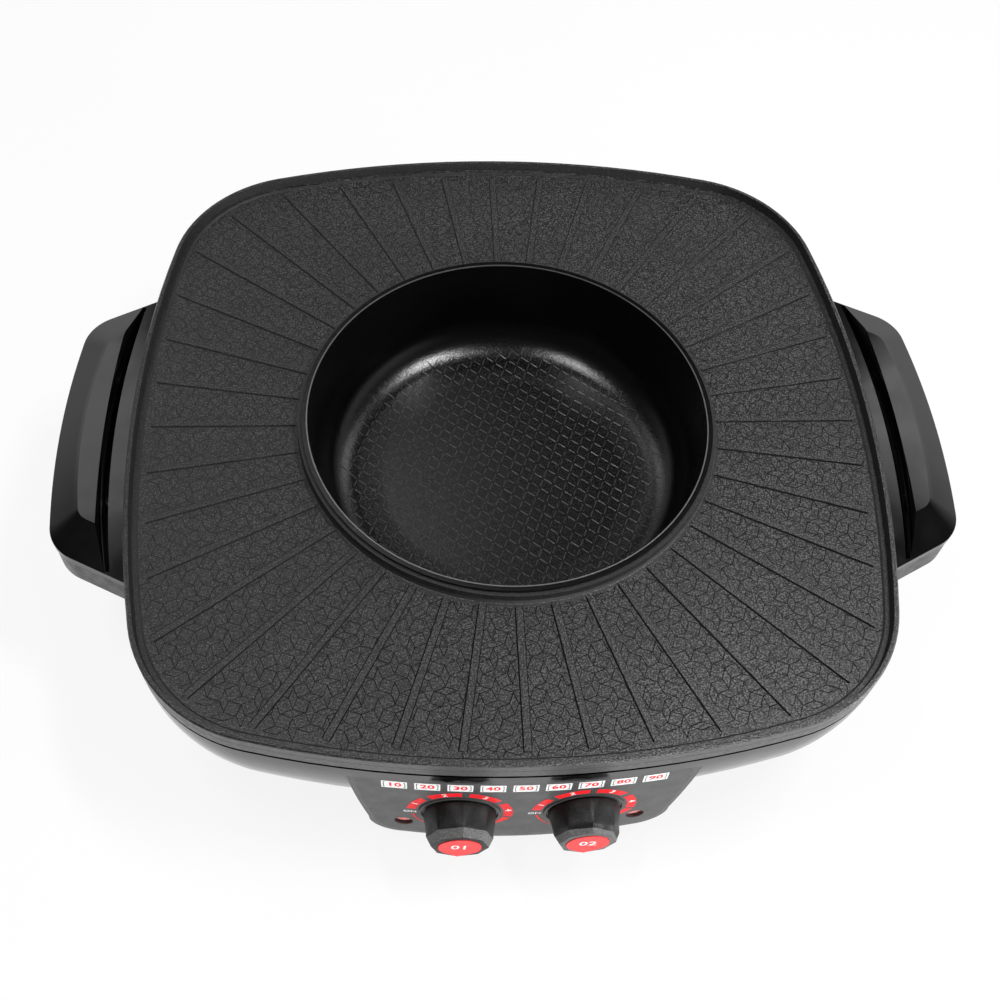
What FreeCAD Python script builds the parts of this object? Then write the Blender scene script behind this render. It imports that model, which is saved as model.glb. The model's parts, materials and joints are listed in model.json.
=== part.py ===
"""Electric grill and hot pot: a rounded-square grill plate with a lift-out pot in its middle, on a
bowl-shaped base with two side handles and a front control pod with two dials.

Millimetres. The origin is on the pot's axis, on the plane that the feet stand on. +Z is up, +X is
to the user's right and the control pod faces -Y.
"""
import FreeCAD, Part
import math
import os
from FreeCAD import Vector

# ---------------------------------------------------------------- overall form
rim_top = 109.0            # height of the grill plate's rim above the table
plate_width = 408.0
plate_depth = 407.4
side_bow_radius = 649.0    # plan radius of the left and right edges
end_bow_radius = 546.0     # plan radius of the front and back edges
corner_radius = 78.0

# ---------------------------------------------------------------- grill plate
skirt_height = 12.1        # rim top to the plate's lower edge
skirt_draft = 0.2
rim_width = 2.6
rim_chamfer = 0.8
rim_inner_draft = 0.9
ledge_drop = 5.2           # rim top to the ledge inside the rim
ledge_width = 2.2
floor_drop = 6.2           # rim top to the cooking surface
floor_thickness = 4.0
skirt_thickness = 4.4
bar_count = 40
bar_width = 3.4
bar_height = 0.7
bar_start_gap = 1.3        # collar to the inner end of a bar
bar_end_inset = 9.8        # from the plate's outer edge to the outer end of a bar
collar_width = 3.3
collar_proud = 0.7         # the collar stands above the rim top
collar_cove = 2.5

# ---------------------------------------------------------------- inner pot
pot_lip_height = 2.6       # above the plate's rim top
pot_lip_width = 3.0
pot_lip_thickness = 1.6
pot_mouth_radius = 109.4   # inside, at the lip
pot_wall_taper = 3.8       # how much narrower the inside is at the foot of the wall
pot_wall = 1.5
pot_floor_drop = 58.0      # rim top to the pot's inside floor
pot_corner_radius = 16.0
pot_base_thickness = 3.0
pot_clearance = 0.3        # pot to the plate's hole and to the heating plate

# ---------------------------------------------------------------- base housing
base_gap = 2.3             # shadow gap between the plate and the base
base_inset = 0.3           # the base's top edge lies inside the plate's outline
base_wall = 2.5
base_floor = 2.5
bowl_run = 50.0            # how far the bowl's section runs inwards
foot_height = 8.0
cover_thickness = 2.5
base_opening_radius = 84.0
lip_inset = 6.5            # plate outline to the inner lip that carries the plate
lip_width = 2.5
shelf_thickness = 3.5

# ---------------------------------------------------------------- control pod
pod_setback = 0.1          # the face behind the base's front
pod_bow_radius = 528.0
pod_top_gap = 1.6          # the base's top edge to the pod's
pod_half_top = 87.0
pod_half_low = 77.0
pod_low_drop = 76.0        # rim top to where the side ends
pod_side_bulge = 1.0
pod_half_foot = 60.0
pod_foot_drop = 93.6
pod_bottom_drop = 96.6
pod_corner_bulge = 0.22    # of the lower corner's arc, as a share of its chord
pod_wall = 2.5
pod_depth = 65.0           # how far back its walls would reach without the base
pod_seat = 12.0            # how far the pod's walls reach into the base
pod_window_half = 70.0     # opening in the base behind the pod
pod_window_margin = 14.0   # from the pod's top and foot to that opening
overlay_margin = 3.0
overlay_thickness = 0.6
overlay_corner = 7.0
overlay_top_drop = 21.8    # rim top to the overlay's top edge
dial_spacing = 62.4        # between the two dial axes, on the face
dial_drop = 61.8           # rim top to the dial axes
dial_tilt = 1.7            # degrees that each dial faces outwards
window_spacing = 119.0
window_drop = 78.2
window_radius = 4.8
window_recess = 2.1
lens_thickness = 1.4
lamp_back = 13.0           # from the face to the lamp's back
lamp_boss_wall = 1.6
lamp_boss_back = 11.0
lead_radius = 0.6
lead_length = 5.0
lead_spacing = 4.0

# ---------------------------------------------------------------- dials
knob_length = 17.6
knob_base_radius = 18.6
knob_shoulder_radius = 16.7    # to the corners of the facets
knob_face_radius = 14.4
knob_shoulder = 13.0       # from the panel to the shoulder
knob_gap = 1.0             # knob to panel
knob_wall = 2.0
knob_hollow_gap = 1.0      # the dial's shoulder to the roof of its hollow
hub_root = 0.5             # how far the hub goes into that roof
hub_end_gap = 2.0          # behind the hub, to the dial's back
knob_facets = 8
knob_rest_turn = -5.0      # the pointer rests a little to the left of straight down
cap_radius = 10.8
cap_thickness = 1.6
cap_proud = 0.4
pointer_radius = 13.2
cap_floor_gap = 5.0        # from the dial's front to the blind end of its bore
shaft_radius = 3.0
shaft_flat = 0.5
shaft_end_gap = 0.5
shaft_tail_gap = 2.0       # behind the shaft, to the end of its bore
bore_clearance = 0.05
hub_radius = 5.6
dial_ring_inner = 19.3
dial_ring_outer = 20.5
dial_ring_height = 0.6
thermo_half = 14.0
thermo_depth = 17.0
thermo_gap = 0.9           # thermostat's flat front to the middle of the bowed wall
thermo_bush_radius = 5.0
thermo_bore_depth = 12.0
thermo_screw_x = 9.5
thermo_screw_radius = 1.5
thermo_screw_reach = 4.5   # past the pod's wall
thermo_screw_head = 3.1
thermo_hole_gap = 0.1      # round the bush and the screw heads
tab_half_width = 3.0
tab_half_thickness = 0.4
tab_length = 6.0
tab_x = 7.0
tab_z = 6.0

# ---------------------------------------------------------------- handles
handle_gap = 0.9           # plate to rail
rail_drop = 9.5            # rim top to the rail beside the plate
rail_width = 10.0          # plate's side to the slot, at mid length
rail_narrowing = 8.0       # how much nearer the slot's ends are than its middle
slot_gap = 4.2             # slot between the rail and the grip
slot_end_gap = 2.2
slot_skew = 0.4            # the slot's back end is this much further out than its front end
slot_front = 90.4
slot_back = 87.8
grip_drop = 3.2            # rim top to the flat of the grip
grip_chamfer_drop = 0.9
grip_bevel_inset = 12.0    # handle's outline to the upper edge of the bevel
grip_bevel_end = 6.0       # and what it moves in at each end
grip_bevel_front = 10.4    # plate's side to the bevel's inner corners
grip_bevel_back = 10.8
grip_flat_inset = 13.8
grip_flat_end = 7.4
grip_flat_front = 11.3
grip_flat_back = 11.2
handle_overhang = 39.0     # plate's side to the outermost point
handle_front = 75.8        # the outline's front corner, before rounding
handle_back = 73.4
handle_front_setback = 4.4
handle_back_setback = 6.2
handle_corner = 24.0
handle_end_slope = 27.6    # degrees from the X axis
handle_bow_share = 0.8     # how much of the side's bow is left where its corner starts
handle_edge_drop = 13.6    # rim top to the lower edge of the upper moulding
handle_cover_drop = 31.0   # rim top to the bottom of the lower cover
handle_cover_inset = 0.4
handle_cover_taper = 0.2
handle_cover_wall = 2.5
handle_screw_reach = 42.0  # along the handle, from its middle
handle_screw_drop = 23.0
handle_screw_reach_out = 8.0   # past the plate's side
handle_boss_length = 12.0
handle_boss_radius = 5.0
handle_pad_depth = 5.0
grip_screw_inset = 16.0    # handle's outermost point to the upright screws
grip_screw_depth = 6.0     # thread in the upper moulding

# ---------------------------------------------------------------- inside
heater_radius = 78.0
heater_thickness = 12.0
tube_radius = 4.0
pot_ring_radius = 52.0
grill_ring_radius = 150.0
grill_ring_gap_angle = 7.0
grill_ring_drop = 20.0     # down to its terminal pins
pot_ring_gap_angle = 12.0
pot_ring_drop = 6.0
pin_radius = 1.6
pin_length = 8.0
shield_drop = 32.0         # rim top to the shield's flange
shield_radius = 170.0
shield_throat_gap = 7.8    # plate's hole to the throat's upper edge
shield_throat_taper = 4.0
shield_floor_drop = 85.0   # rim top to the shield's floor
shield_vent_radius = 24.0
shield_edge = 5.0          # height of the turned-up edge
shield_hole_gap = 0.5
heater_hole_radius = 12.0
bracket_count = 6
bracket_half = 6.0
bracket_wall = 1.5
bracket_hold = 1.0         # the saddle's ends stand this far above the tube's axis
sheet = 0.8
post_reach = 128.0         # plate posts stand at (+-reach, +-reach)
post_radius = 6.5
stud_radius = 5.0
screw_radius = 2.0
thread_radius = 1.6
screw_grip = 10.0          # thread length in a post
screw_tip = 1.5            # plate screws go this far into the plate
post_seat_height = 9.0     # post's top to the shoulder of its screw
screw_head_radius = 3.6
screw_well_gap = 0.6       # round a plate screw's head
screw_pad_width = 1.0      # a handle screw's pad is this much wider than its head
screw_head_height = 2.4
shield_post_radius = 4.5
shield_post_circle = 160.0
spacer_circle = 64.0
spacer_radius = 4.5
foot_reach = 98.0
foot_radius = 11.0
foot_taper = 2.0
foot_plug_radius = 3.0
cover_scale_gap = 0.01     # the cover is this much smaller than the bowl's foot, as a share
cover_rim_gap = 0.4
cover_rim_width = 2.0
cover_screw_inset = 8.0    # base opening to the cover screws
vent_rows = 7
vent_pitch = 10.0
vent_half_width = 1.5
vent_half_length = 16.0
vent_x = 32.0
terminal_gap = 8.0         # shield's throat to the terminal block
terminal_half_x = 22.0
terminal_half_y = 8.0
terminal_floor_height = 26.0
terminal_height = 10.0
clamp_half_x = 4.5
clamp_half_y = 6.0
clamp_height = 5.0
clamp_pitch = 14.0
pedestal_margin = 2.0
inlet_drop = 40.0          # rim top to the inlet's middle
inlet_setback = 1.0        # its face behind the base's back
inlet_half_x = 15.0
inlet_half_z = 10.0
inlet_wall = 2.0
inlet_depth = 20.0
inlet_floor = 3.0
inlet_flange = 1.5
inlet_flange_x = 4.0
inlet_flange_z = 3.0
inlet_boss_x = 8.0
inlet_boss_z = 5.0
inlet_boss_depth = 18.0
inlet_pin_radius = 2.0
inlet_pin_length = 18.0
inlet_pin_tail = 2.0       # behind the shroud
inlet_pin_x = 7.0
inlet_pin_low = 2.5
inlet_pin_high = 3.5

plate_half_x = plate_width / 2
plate_half_y = plate_depth / 2
plate_bottom = rim_top - skirt_height
plate_underside = rim_top - floor_drop - floor_thickness
cooking_floor = rim_top - floor_drop
collar_top = rim_top + collar_proud
hole_radius = pot_mouth_radius + pot_wall + pot_clearance
collar_outer_radius = hole_radius + collar_width
bar_start_radius = collar_outer_radius + bar_start_gap
pot_wall_foot_radius = pot_mouth_radius - pot_wall_taper
pot_lip_radius = pot_mouth_radius + pot_lip_width
shield_throat_top = hole_radius + shield_throat_gap
shield_throat_foot = shield_throat_top - shield_throat_taper
terminal_y = shield_throat_top + terminal_gap + terminal_half_y
base_top = plate_bottom - base_gap
base_bottom = foot_height + cover_thickness
bowl_height = base_top - base_bottom
pot_floor = rim_top - pot_floor_drop
heater_top = pot_floor - pot_base_thickness - pot_clearance
heater_bottom = heater_top - heater_thickness
dial_height = rim_top - dial_drop
shield_height = rim_top - shield_drop
base_front = plate_half_y - base_inset
pod_face_y = pod_setback - base_front
pod_top = base_top - pod_top_gap
window_height = rim_top - window_drop
inlet_height = rim_top - inlet_drop
inlet_face_y = base_front - inlet_setback
shield_floor = rim_top - shield_floor_drop
grill_ring_level = plate_underside - tube_radius
post_top = plate_underside - shelf_thickness
post_shoulder = post_top - post_seat_height
ORIGIN = Vector(0, 0, 0)
UP = Vector(0, 0, 1)
shapes = {}


# ---------------------------------------------------------------- general helpers
def block(x0, x1, y0, y1, z0, z1):
    """Box between two corners."""
    return Part.makeBox(x1 - x0, y1 - y0, z1 - z0, Vector(x0, y0, z0))


def rod(x, y, z0, z1, radius):
    """Upright cylinder."""
    return Part.makeCylinder(radius, z1 - z0, Vector(x, y, z0))


def tube(x, y, z0, z1, outer, inner):
    """Upright tube."""
    return rod(x, y, z0, z1, outer).cut(rod(x, y, z0 - 1, z1 + 1, inner))


def turned(points):
    """Solid of revolution about Z from (radius, height) points."""
    corners = [Vector(r, 0, z) for r, z in points]
    wire = Part.makePolygon(corners + corners[:1])
    return Part.Face(wire).revolve(ORIGIN, UP, 360)


def fused(solids):
    """One solid from several that touch or overlap."""
    return solids[0].multiFuse(solids[1:]).removeSplitter() if len(solids) > 1 else solids[0]


def quadrants():
    """The four sign pairs of a rectangular pattern."""
    return [(1, 1), (-1, 1), (-1, -1), (1, -1)]


def arc(start, through, end):
    """Edge of a circular arc through three points."""
    return Part.Arc(start, through, end).toShape()


def line(start, end):
    """Straight edge."""
    return Part.makeLine(start, end)


def rounding(corner, first, second, run):
    """Start, middle and end of the arc that rounds a corner, given the directions of its sides."""
    half = first.getAngle(second) / 2
    radius = run * math.tan(half)
    middle = corner + (first + second).normalize() * (radius / math.sin(half) - radius)
    return corner + first * run, middle, corner + second * run


# ---------------------------------------------------------------- the plan outline
def outline_corner(half_x, half_y, side_radius, end_radius, corner):
    """Centre of the corner arc, and where it meets the side arc and the end arc."""
    side_centre = Vector(half_x - side_radius, 0, 0)
    end_centre = Vector(0, half_y - end_radius, 0)
    span = end_centre - side_centre
    side_leg = side_radius - corner
    end_leg = end_radius - corner
    along = (side_leg ** 2 - end_leg ** 2 + span.Length ** 2) / (2 * span.Length)
    across = math.sqrt(side_leg ** 2 - along ** 2)
    unit = Vector(span).normalize()
    centre = side_centre + unit * along + Vector(-unit.y, unit.x, 0) * across
    side_point = side_centre + (centre - side_centre).normalize() * side_radius
    end_point = end_centre + (centre - end_centre).normalize() * end_radius
    return centre, side_point, end_point


def outline(height, inset=0.0, scale=1.0):
    """Closed wire of eight tangent arcs: the plate's plan, moved inwards or scaled."""
    half_x = (plate_half_x - inset) * scale
    half_y = (plate_half_y - inset) * scale
    side = (side_bow_radius - inset) * scale
    end = (end_bow_radius - inset) * scale
    corner = (corner_radius - inset) * scale
    centre, side_point, end_point = outline_corner(half_x, half_y, side, end, corner)
    middle = centre + Vector(1, 1, 0).normalize() * corner
    edges = []
    marks = []
    for sx, sy in quadrants():
        flip = sx * sy < 0
        first, last = (end_point, side_point) if flip else (side_point, end_point)
        marks.append([Vector(p.x * sx, p.y * sy, height) for p in (first, middle, last)])
    bows = [Vector(0, half_y, height), Vector(-half_x, 0, height),
            Vector(0, -half_y, height), Vector(half_x, 0, height)]
    for index in range(4):
        edges.append(arc(*marks[index]))
        edges.append(arc(marks[index][2], bows[index], marks[(index + 1) % 4][0]))
    return Part.Wire(edges)


def prism(bottom, top, inset=0.0, top_inset=None, scale=1.0):
    """Solid between two levels of the outline, drafted when the insets differ."""
    if top_inset is None:
        return Part.Face(outline(bottom, inset, scale)).extrude(Vector(0, 0, top - bottom))
    return Part.makeLoft([outline(bottom, inset, scale), outline(top, top_inset, scale)], True, True)


def reach_at(angle, inset):
    """Distance from the axis to the inset outline in a direction, in degrees."""
    turn = math.radians(angle)
    ray = Vector(abs(math.cos(turn)), abs(math.sin(turn)), 0)
    sizes = [plate_half_x, plate_half_y, side_bow_radius, end_bow_radius, corner_radius]
    half_x, half_y, side, end, corner = [size - inset for size in sizes]
    centre, side_point, end_point = outline_corner(half_x, half_y, side, end, corner)
    if ray.y * side_point.x < ray.x * side_point.y:
        middle, radius = Vector(half_x - side, 0, 0), side
    elif ray.y * end_point.x < ray.x * end_point.y:
        middle, radius = centre, corner
    else:
        middle, radius = Vector(0, half_y - end, 0), end
    along = ray.dot(middle)
    return along + math.sqrt(radius ** 2 - middle.dot(middle) + along ** 2)


# ---------------------------------------------------------------- grill plate and pot
def make_grill_plate():
    """Cast plate: drafted skirt, raised rim, ledge, radial bars and the collar round the pot."""
    plate = prism(plate_bottom, rim_top - rim_chamfer, skirt_draft, 0.0)
    plate = plate.fuse(prism(rim_top - rim_chamfer, rim_top, 0.0, rim_chamfer))
    foot_inset = rim_width + rim_inner_draft
    plate = plate.cut(prism(rim_top - ledge_drop, rim_top, foot_inset, rim_width))
    ledge_inset = foot_inset + ledge_width
    drop = ledge_drop - floor_drop
    plate = plate.cut(prism(cooking_floor, rim_top - ledge_drop, ledge_inset - drop, ledge_inset))
    plate = plate.cut(prism(plate_bottom, plate_underside, skirt_thickness))
    bars = [make_bar(360.0 * index / bar_count) for index in range(bar_count)]
    studs = []
    for sx, sy in quadrants():
        stud = rod(sx * post_reach, sy * post_reach, post_top, plate_underside + 1, stud_radius)
        bore = rod(sx * post_reach, sy * post_reach, post_top - 1, plate_underside + screw_tip,
                   screw_radius)
        studs.append((stud, bore))
    cove_middle = collar_cove * (1 - math.sqrt(0.5))
    collar = turned([
        (hole_radius, plate_underside), (collar_outer_radius + collar_cove, plate_underside),
        (collar_outer_radius + collar_cove, cooking_floor),
        (collar_outer_radius + cove_middle, cooking_floor + cove_middle),
        (collar_outer_radius, cooking_floor + collar_cove),
        (collar_outer_radius, collar_top), (hole_radius, collar_top)])
    plate = plate.cut(rod(0, 0, plate_bottom, collar_top, collar_outer_radius + 1))
    plate = fused([plate, collar] + bars + [stud for stud, bore in studs])
    for stud, bore in studs:
        plate = plate.cut(bore)
    return plate


def make_bar(angle):
    """One raised radial bar on the cooking surface."""
    end_radius = reach_at(angle, bar_end_inset)
    bar = block(bar_start_radius, end_radius, -bar_width / 2, bar_width / 2,
                cooking_floor - 1, cooking_floor + bar_height)
    bar.rotate(ORIGIN, UP, angle)
    return bar


def make_inner_pot():
    """Pressed pot: flared lip, slightly tapered wall, rounded corner and flat floor."""
    lip_top = rim_top + pot_lip_height
    lip_under = lip_top - pot_lip_thickness
    corner_z = pot_floor + pot_corner_radius

    def side(offset, under):
        """Radius-height points of the inner face, or of the outer one."""
        mouth = Vector(pot_mouth_radius + offset, 0, lip_top - (pot_lip_thickness if offset else 0))
        foot = Vector(pot_wall_foot_radius + offset, 0, corner_z)
        turn = pot_corner_radius + under
        floor_end = Vector(pot_wall_foot_radius + offset - turn, 0, pot_floor - under)
        diagonal = turn * math.sqrt(0.5)
        middle = Vector(floor_end.x + diagonal, 0, floor_end.z + turn - diagonal)
        start = Vector(floor_end.x + turn, 0, floor_end.z + turn)
        return mouth, foot if not offset else start, middle, floor_end

    mouth, foot, middle, floor_end = side(0.0, 0.0)
    out_mouth, out_foot, out_middle, out_floor = side(pot_wall, pot_base_thickness)
    lip_in = Vector(pot_mouth_radius, 0, lip_top)
    lip_out = Vector(pot_lip_radius, 0, lip_top)
    lip_low = Vector(pot_lip_radius, 0, lip_under)
    edges = [
        line(Vector(0, 0, pot_floor), floor_end), arc(floor_end, middle, foot), line(foot, lip_in),
        line(lip_in, lip_out), line(lip_out, lip_low), line(lip_low, out_mouth),
        line(out_mouth, out_foot), arc(out_foot, out_middle, out_floor),
        line(out_floor, Vector(0, 0, out_floor.z)),
        line(Vector(0, 0, out_floor.z), Vector(0, 0, pot_floor))]
    return Part.Face(Part.Wire(edges)).revolve(ORIGIN, UP, 360)


# ---------------------------------------------------------------- base housing
def bowl(wall, floor, gap=0.0):
    """Solid bowl: scaled outlines on a quarter-ellipse section, inside a wall or outside a gap."""
    half = plate_half_x - base_inset - wall + gap
    height = bowl_height - floor + gap
    wires = []
    for turn in (0, 14, 28, 42, 55, 67, 78, 90):
        section = half - bowl_run * (1 - math.cos(math.radians(turn)))
        level = base_top - height * math.sin(math.radians(turn))
        wires.append(outline(level, 0.0, section / plate_half_x))
    return Part.makeLoft(wires, True, False)


def pod_profile(margin, y, top, corner=0.0):
    """Front outline of the pod: bowed leaning sides, round lower corners, slightly bowed foot."""
    lean = (pod_half_top - pod_half_low) / (pod_low_drop - (rim_top - base_top))
    low_z = rim_top - pod_low_drop
    low = Vector(pod_half_low - margin, y, low_z)
    foot = Vector(pod_half_foot - margin / 2, y, rim_top - pod_foot_drop + margin)
    chord = low - foot
    bend = (low + foot) * 0.5 + Vector(chord.z, 0, -chord.x) * pod_corner_bulge
    knee = Vector(low.x + lean * (top - low_z), y, top)
    side_end, rounded, top_end = rounding(knee, Vector(-lean, 0, -1).normalize(), Vector(-1, 0, 0),
                                          corner)
    waist = (low + side_end) * 0.5 + Vector(pod_side_bulge, 0, 0)
    right = [arc(foot, bend, low), arc(low, waist, side_end)]
    if corner:
        right.append(arc(side_end, rounded, top_end))
    left = [edge.mirror(ORIGIN, Vector(1, 0, 0)) for edge in right]
    opposite = Vector(-foot.x, y, foot.z)
    bottom = Vector(0, y, rim_top - pod_bottom_drop + margin)
    base = arc(opposite, bottom, foot)
    across = line(top_end, Vector(-top_end.x, y, top))
    return Part.Wire(Part.__sortEdges__([base, across] + right + left))


def behind_face(depth):
    """Slab bounded in front by the bowed face, moved back by a depth."""
    radius = pod_bow_radius - depth
    centre = Vector(0, pod_face_y + pod_bow_radius, 0)
    drum = Part.makeCylinder(radius, rim_top, centre)
    return drum.common(block(-pod_half_top - 5, pod_half_top + 5, pod_face_y - 1,
                             pod_face_y + pod_depth, 0, rim_top))


def pod_block(margin, depth, top):
    """Pod-shaped solid whose front follows the bowed face at a depth."""
    face = Part.Face(pod_profile(margin, pod_face_y - 5, top))
    return face.extrude(Vector(0, pod_depth, 0)).common(behind_face(depth))


def on_face(shape, x, height):
    """Carries a part built at the origin, facing -Y, to a place on the bowed face."""
    angle = math.asin(x / pod_bow_radius)
    placed = shape.copy()
    placed.rotate(ORIGIN, UP, math.degrees(angle))
    depth = pod_bow_radius * (1 - math.cos(angle))
    placed.translate(Vector(x, pod_face_y + depth, height))
    return placed


def on_dial(shape, side):
    """Carries a part built at the origin to a dial's place, facing nearly forward."""
    placed = shape.copy()
    placed.rotate(ORIGIN, UP, side * dial_tilt)
    x = side * dial_spacing / 2
    depth = pod_bow_radius - math.sqrt(pod_bow_radius ** 2 - x ** 2)
    placed.translate(Vector(x, pod_face_y + depth, dial_height))
    return placed


def facing(radius, front, back, x=0.0, z=0.0):
    """Cylinder along Y, between a front and a back distance from the face."""
    return Part.makeCylinder(radius, back - front, Vector(x, front, z), Vector(0, 1, 0))


def both_sides():
    """The two sides: name ending and sign along X."""
    return [("left", -1), ("right", 1)]


def window_places():
    """The two windows' places across the face."""
    return [-window_spacing / 2, window_spacing / 2]


def make_base_housing():
    """Moulded bowl with the plate's shelf and lip, posts, the inlet boss and the pod's opening."""
    housing = bowl(0, 0).cut(bowl(base_wall, base_floor))
    shelf = prism(base_top - shelf_thickness, base_top, base_inset + base_wall / 2)
    shelf = shelf.cut(prism(base_top - shelf_thickness - 1, base_top + 1, lip_inset + lip_width))
    lip = prism(base_top - 1, plate_underside, lip_inset)
    lip = lip.cut(prism(base_top - 2, plate_underside + 1, lip_inset + lip_width))
    posts = [rod(sx * post_reach, sy * post_reach, base_bottom, post_top, post_radius)
             for sx, sy in quadrants()]
    shield_posts = [rod(x, y, base_bottom, shield_height - sheet, shield_post_radius)
                    for x, y in shield_post_places()]
    pedestal_x = terminal_half_x + pedestal_margin
    pedestal_y = terminal_half_y + pedestal_margin
    pedestal = block(-pedestal_x, pedestal_x, terminal_y - pedestal_y, terminal_y + pedestal_y,
                     base_bottom, terminal_floor_height)
    solid = bowl(0, 0)
    pad_radius = screw_head_radius + screw_pad_width
    pads = [mirrored(side_rod(y, -handle_pad_depth, base_wall, pad_radius), side)
            for side in (1, -1) for y in (-handle_screw_reach, handle_screw_reach)]
    inner = [post.common(solid) for post in posts + shield_posts + [pedestal] + pads]
    boss_x = inlet_half_x + inlet_boss_x
    boss = block(-boss_x, boss_x, inlet_face_y - inlet_boss_depth, inlet_face_y,
                 inlet_height - inlet_half_z - inlet_boss_z, base_top - 1)
    housing = fused([housing, shelf, lip, boss] + inner)
    housing = housing.cut(pod_block(0.0, 0.0, pod_top).cut(pod_block(0.0, pod_seat, pod_top)))
    housing = housing.cut(block(-pod_window_half, pod_window_half, pod_face_y, pod_face_y + pod_depth,
                                rim_top - pod_bottom_drop + pod_window_margin,
                                pod_top - pod_window_margin))
    housing = housing.cut(block(-inlet_half_x, inlet_half_x, inlet_face_y - inlet_depth - 10,
                                inlet_face_y + 1, inlet_height - inlet_half_z,
                                inlet_height + inlet_half_z))
    housing = housing.cut(inlet_block(inlet_flange_x, inlet_flange_z, 0.0, inlet_flange + 1))
    housing = housing.cut(rod(0, 0, base_bottom - 1, base_bottom + base_floor + 1,
                              base_opening_radius))
    well_radius = screw_head_radius + screw_well_gap
    for sx, sy in quadrants():
        x, y = sx * post_reach, sy * post_reach
        housing = housing.cut(rod(x, y, base_bottom - 1, post_shoulder, well_radius))
        housing = housing.cut(rod(x, y, post_shoulder - 1, plate_underside, screw_radius))
    for x, y in shield_post_places():
        housing = housing.cut(rod(x, y, shield_height - screw_grip, shield_height, thread_radius))
    for x, y in cover_screw_places():
        housing = housing.cut(rod(x, y, base_bottom - 1, base_bottom + base_floor + 1,
                                  thread_radius))
    for side in (1, -1):
        for y in (-handle_screw_reach, handle_screw_reach):
            hole = side_rod(y, -handle_pad_depth - 1, base_wall, thread_radius)
            housing = housing.cut(mirrored(hole, side))
    return housing


def shield_post_places():
    """Four posts that carry the heat shield."""
    x = shield_post_circle * math.cos(math.radians(30))
    y = shield_post_circle * math.sin(math.radians(30))
    return [(sx * x, sy * y) for sx, sy in quadrants()]


def cover_screw_places():
    """Four screws near the bottom cover's edge."""
    reach = base_opening_radius + cover_screw_inset
    return [(reach, 0), (0, reach), (-reach, 0), (0, -reach)]


def make_bottom_cover():
    """Flat cover with ventilation slots, a turned-up locating rim and holes for feet and screws."""
    scale = (plate_half_x - base_inset - bowl_run) / plate_half_x
    cover = prism(foot_height, base_bottom, 0.0, None, scale - cover_scale_gap)
    rim_radius = base_opening_radius - cover_rim_gap
    rim = tube(0, 0, base_bottom, base_bottom + base_floor, rim_radius,
               rim_radius - cover_rim_width)
    cover = fused([cover, rim])
    for row in range(vent_rows):
        y = vent_pitch * (row - (vent_rows - 1) / 2)
        for x in (-vent_x, vent_x):
            slot = block(x - vent_half_length, x + vent_half_length, y - vent_half_width,
                         y + vent_half_width, foot_height - 1, base_bottom + 1)
            cover = cover.cut(slot)
    for x, y in cover_screw_places():
        cover = cover.cut(rod(x, y, foot_height - 1, base_bottom + 1, screw_radius))
    for sx, sy in quadrants():
        cover = cover.cut(rod(sx * foot_reach, sy * foot_reach, foot_height - 1, base_bottom + 1,
                              foot_plug_radius))
    return cover


def make_rubber_feet():
    """Four tapered feet, each with a plug pushed through the cover."""
    feet = []
    for sx, sy in quadrants():
        x, y = sx * foot_reach, sy * foot_reach
        pad = Part.makeCone(foot_radius - foot_taper, foot_radius, foot_height, Vector(x, y, 0))
        feet.append(pad.fuse(rod(x, y, foot_height, base_bottom, foot_plug_radius)))
    return Part.makeCompound(feet)


def make_cover_screws():
    """Four screws from below through the cover."""
    screws = []
    for x, y in cover_screw_places():
        head = rod(x, y, foot_height - screw_head_height, foot_height, screw_head_radius)
        shank = rod(x, y, foot_height, base_bottom, screw_radius)
        tip = rod(x, y, base_bottom, base_bottom + base_floor, thread_radius)
        screws.append(fused([head, shank, tip]))
    return Part.makeCompound(screws)


def make_plate_screws():
    """Four screws up through the base's posts into the plate's studs."""
    screws = []
    for sx, sy in quadrants():
        x, y = sx * post_reach, sy * post_reach
        head = rod(x, y, post_shoulder - screw_head_height, post_shoulder, screw_head_radius)
        shank = rod(x, y, post_shoulder, plate_underside + screw_tip, screw_radius)
        screws.append(head.fuse(shank))
    return Part.makeCompound(screws)


# ---------------------------------------------------------------- control pod and dials
def make_control_pod():
    """Hollow pod with a bowed face, a pocket for the overlay and the dials' and lamps' holes."""
    pod = pod_block(0.0, 0.0, pod_top)
    pod = pod.cut(pod_block(pod_wall, pod_wall, pod_top - pod_wall))
    lamp_bosses = []
    for x in window_places():
        boss = facing(window_radius + lamp_boss_wall, pod_wall / 2, lamp_boss_back)
        boss = boss.cut(facing(window_radius, 0.0, lamp_boss_back + 1))
        lamp_bosses.append(on_face(boss, x, window_height))
    pod = fused([pod] + lamp_bosses)
    pod = pod.cut(bowl(0, 0, 0.05).cut(pod_block(-1.0, -1.0, pod_top + 1).cut(
        pod_block(-1.0, pod_seat, pod_top + 1))))
    pod = pod.cut(overlay_block(0.0))
    for name, side in both_sides():
        hole = facing(thermo_bush_radius + thermo_hole_gap, -1.0, pod_wall + 1)
        for x in (-thermo_screw_x, thermo_screw_x):
            hole = hole.fuse(facing(thermo_screw_radius, -1.0, pod_wall + 1, x))
            hole = hole.fuse(facing(thermo_screw_head + thermo_hole_gap, -1.0, overlay_thickness, x))
        pod = pod.cut(on_dial(hole, side))
    for x in window_places():
        pod = pod.cut(on_face(facing(window_radius, -1.0, pod_wall + 1), x, window_height))
    return pod


def overlay_block(gap):
    """The overlay's solid, lying in the pod's face."""
    profile = pod_profile(overlay_margin + gap, pod_face_y - 5, rim_top - overlay_top_drop,
                          overlay_corner)
    slab = Part.Face(profile).extrude(Vector(0, pod_depth, 0))
    return slab.common(behind_face(0.0).cut(behind_face(overlay_thickness)))


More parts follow.
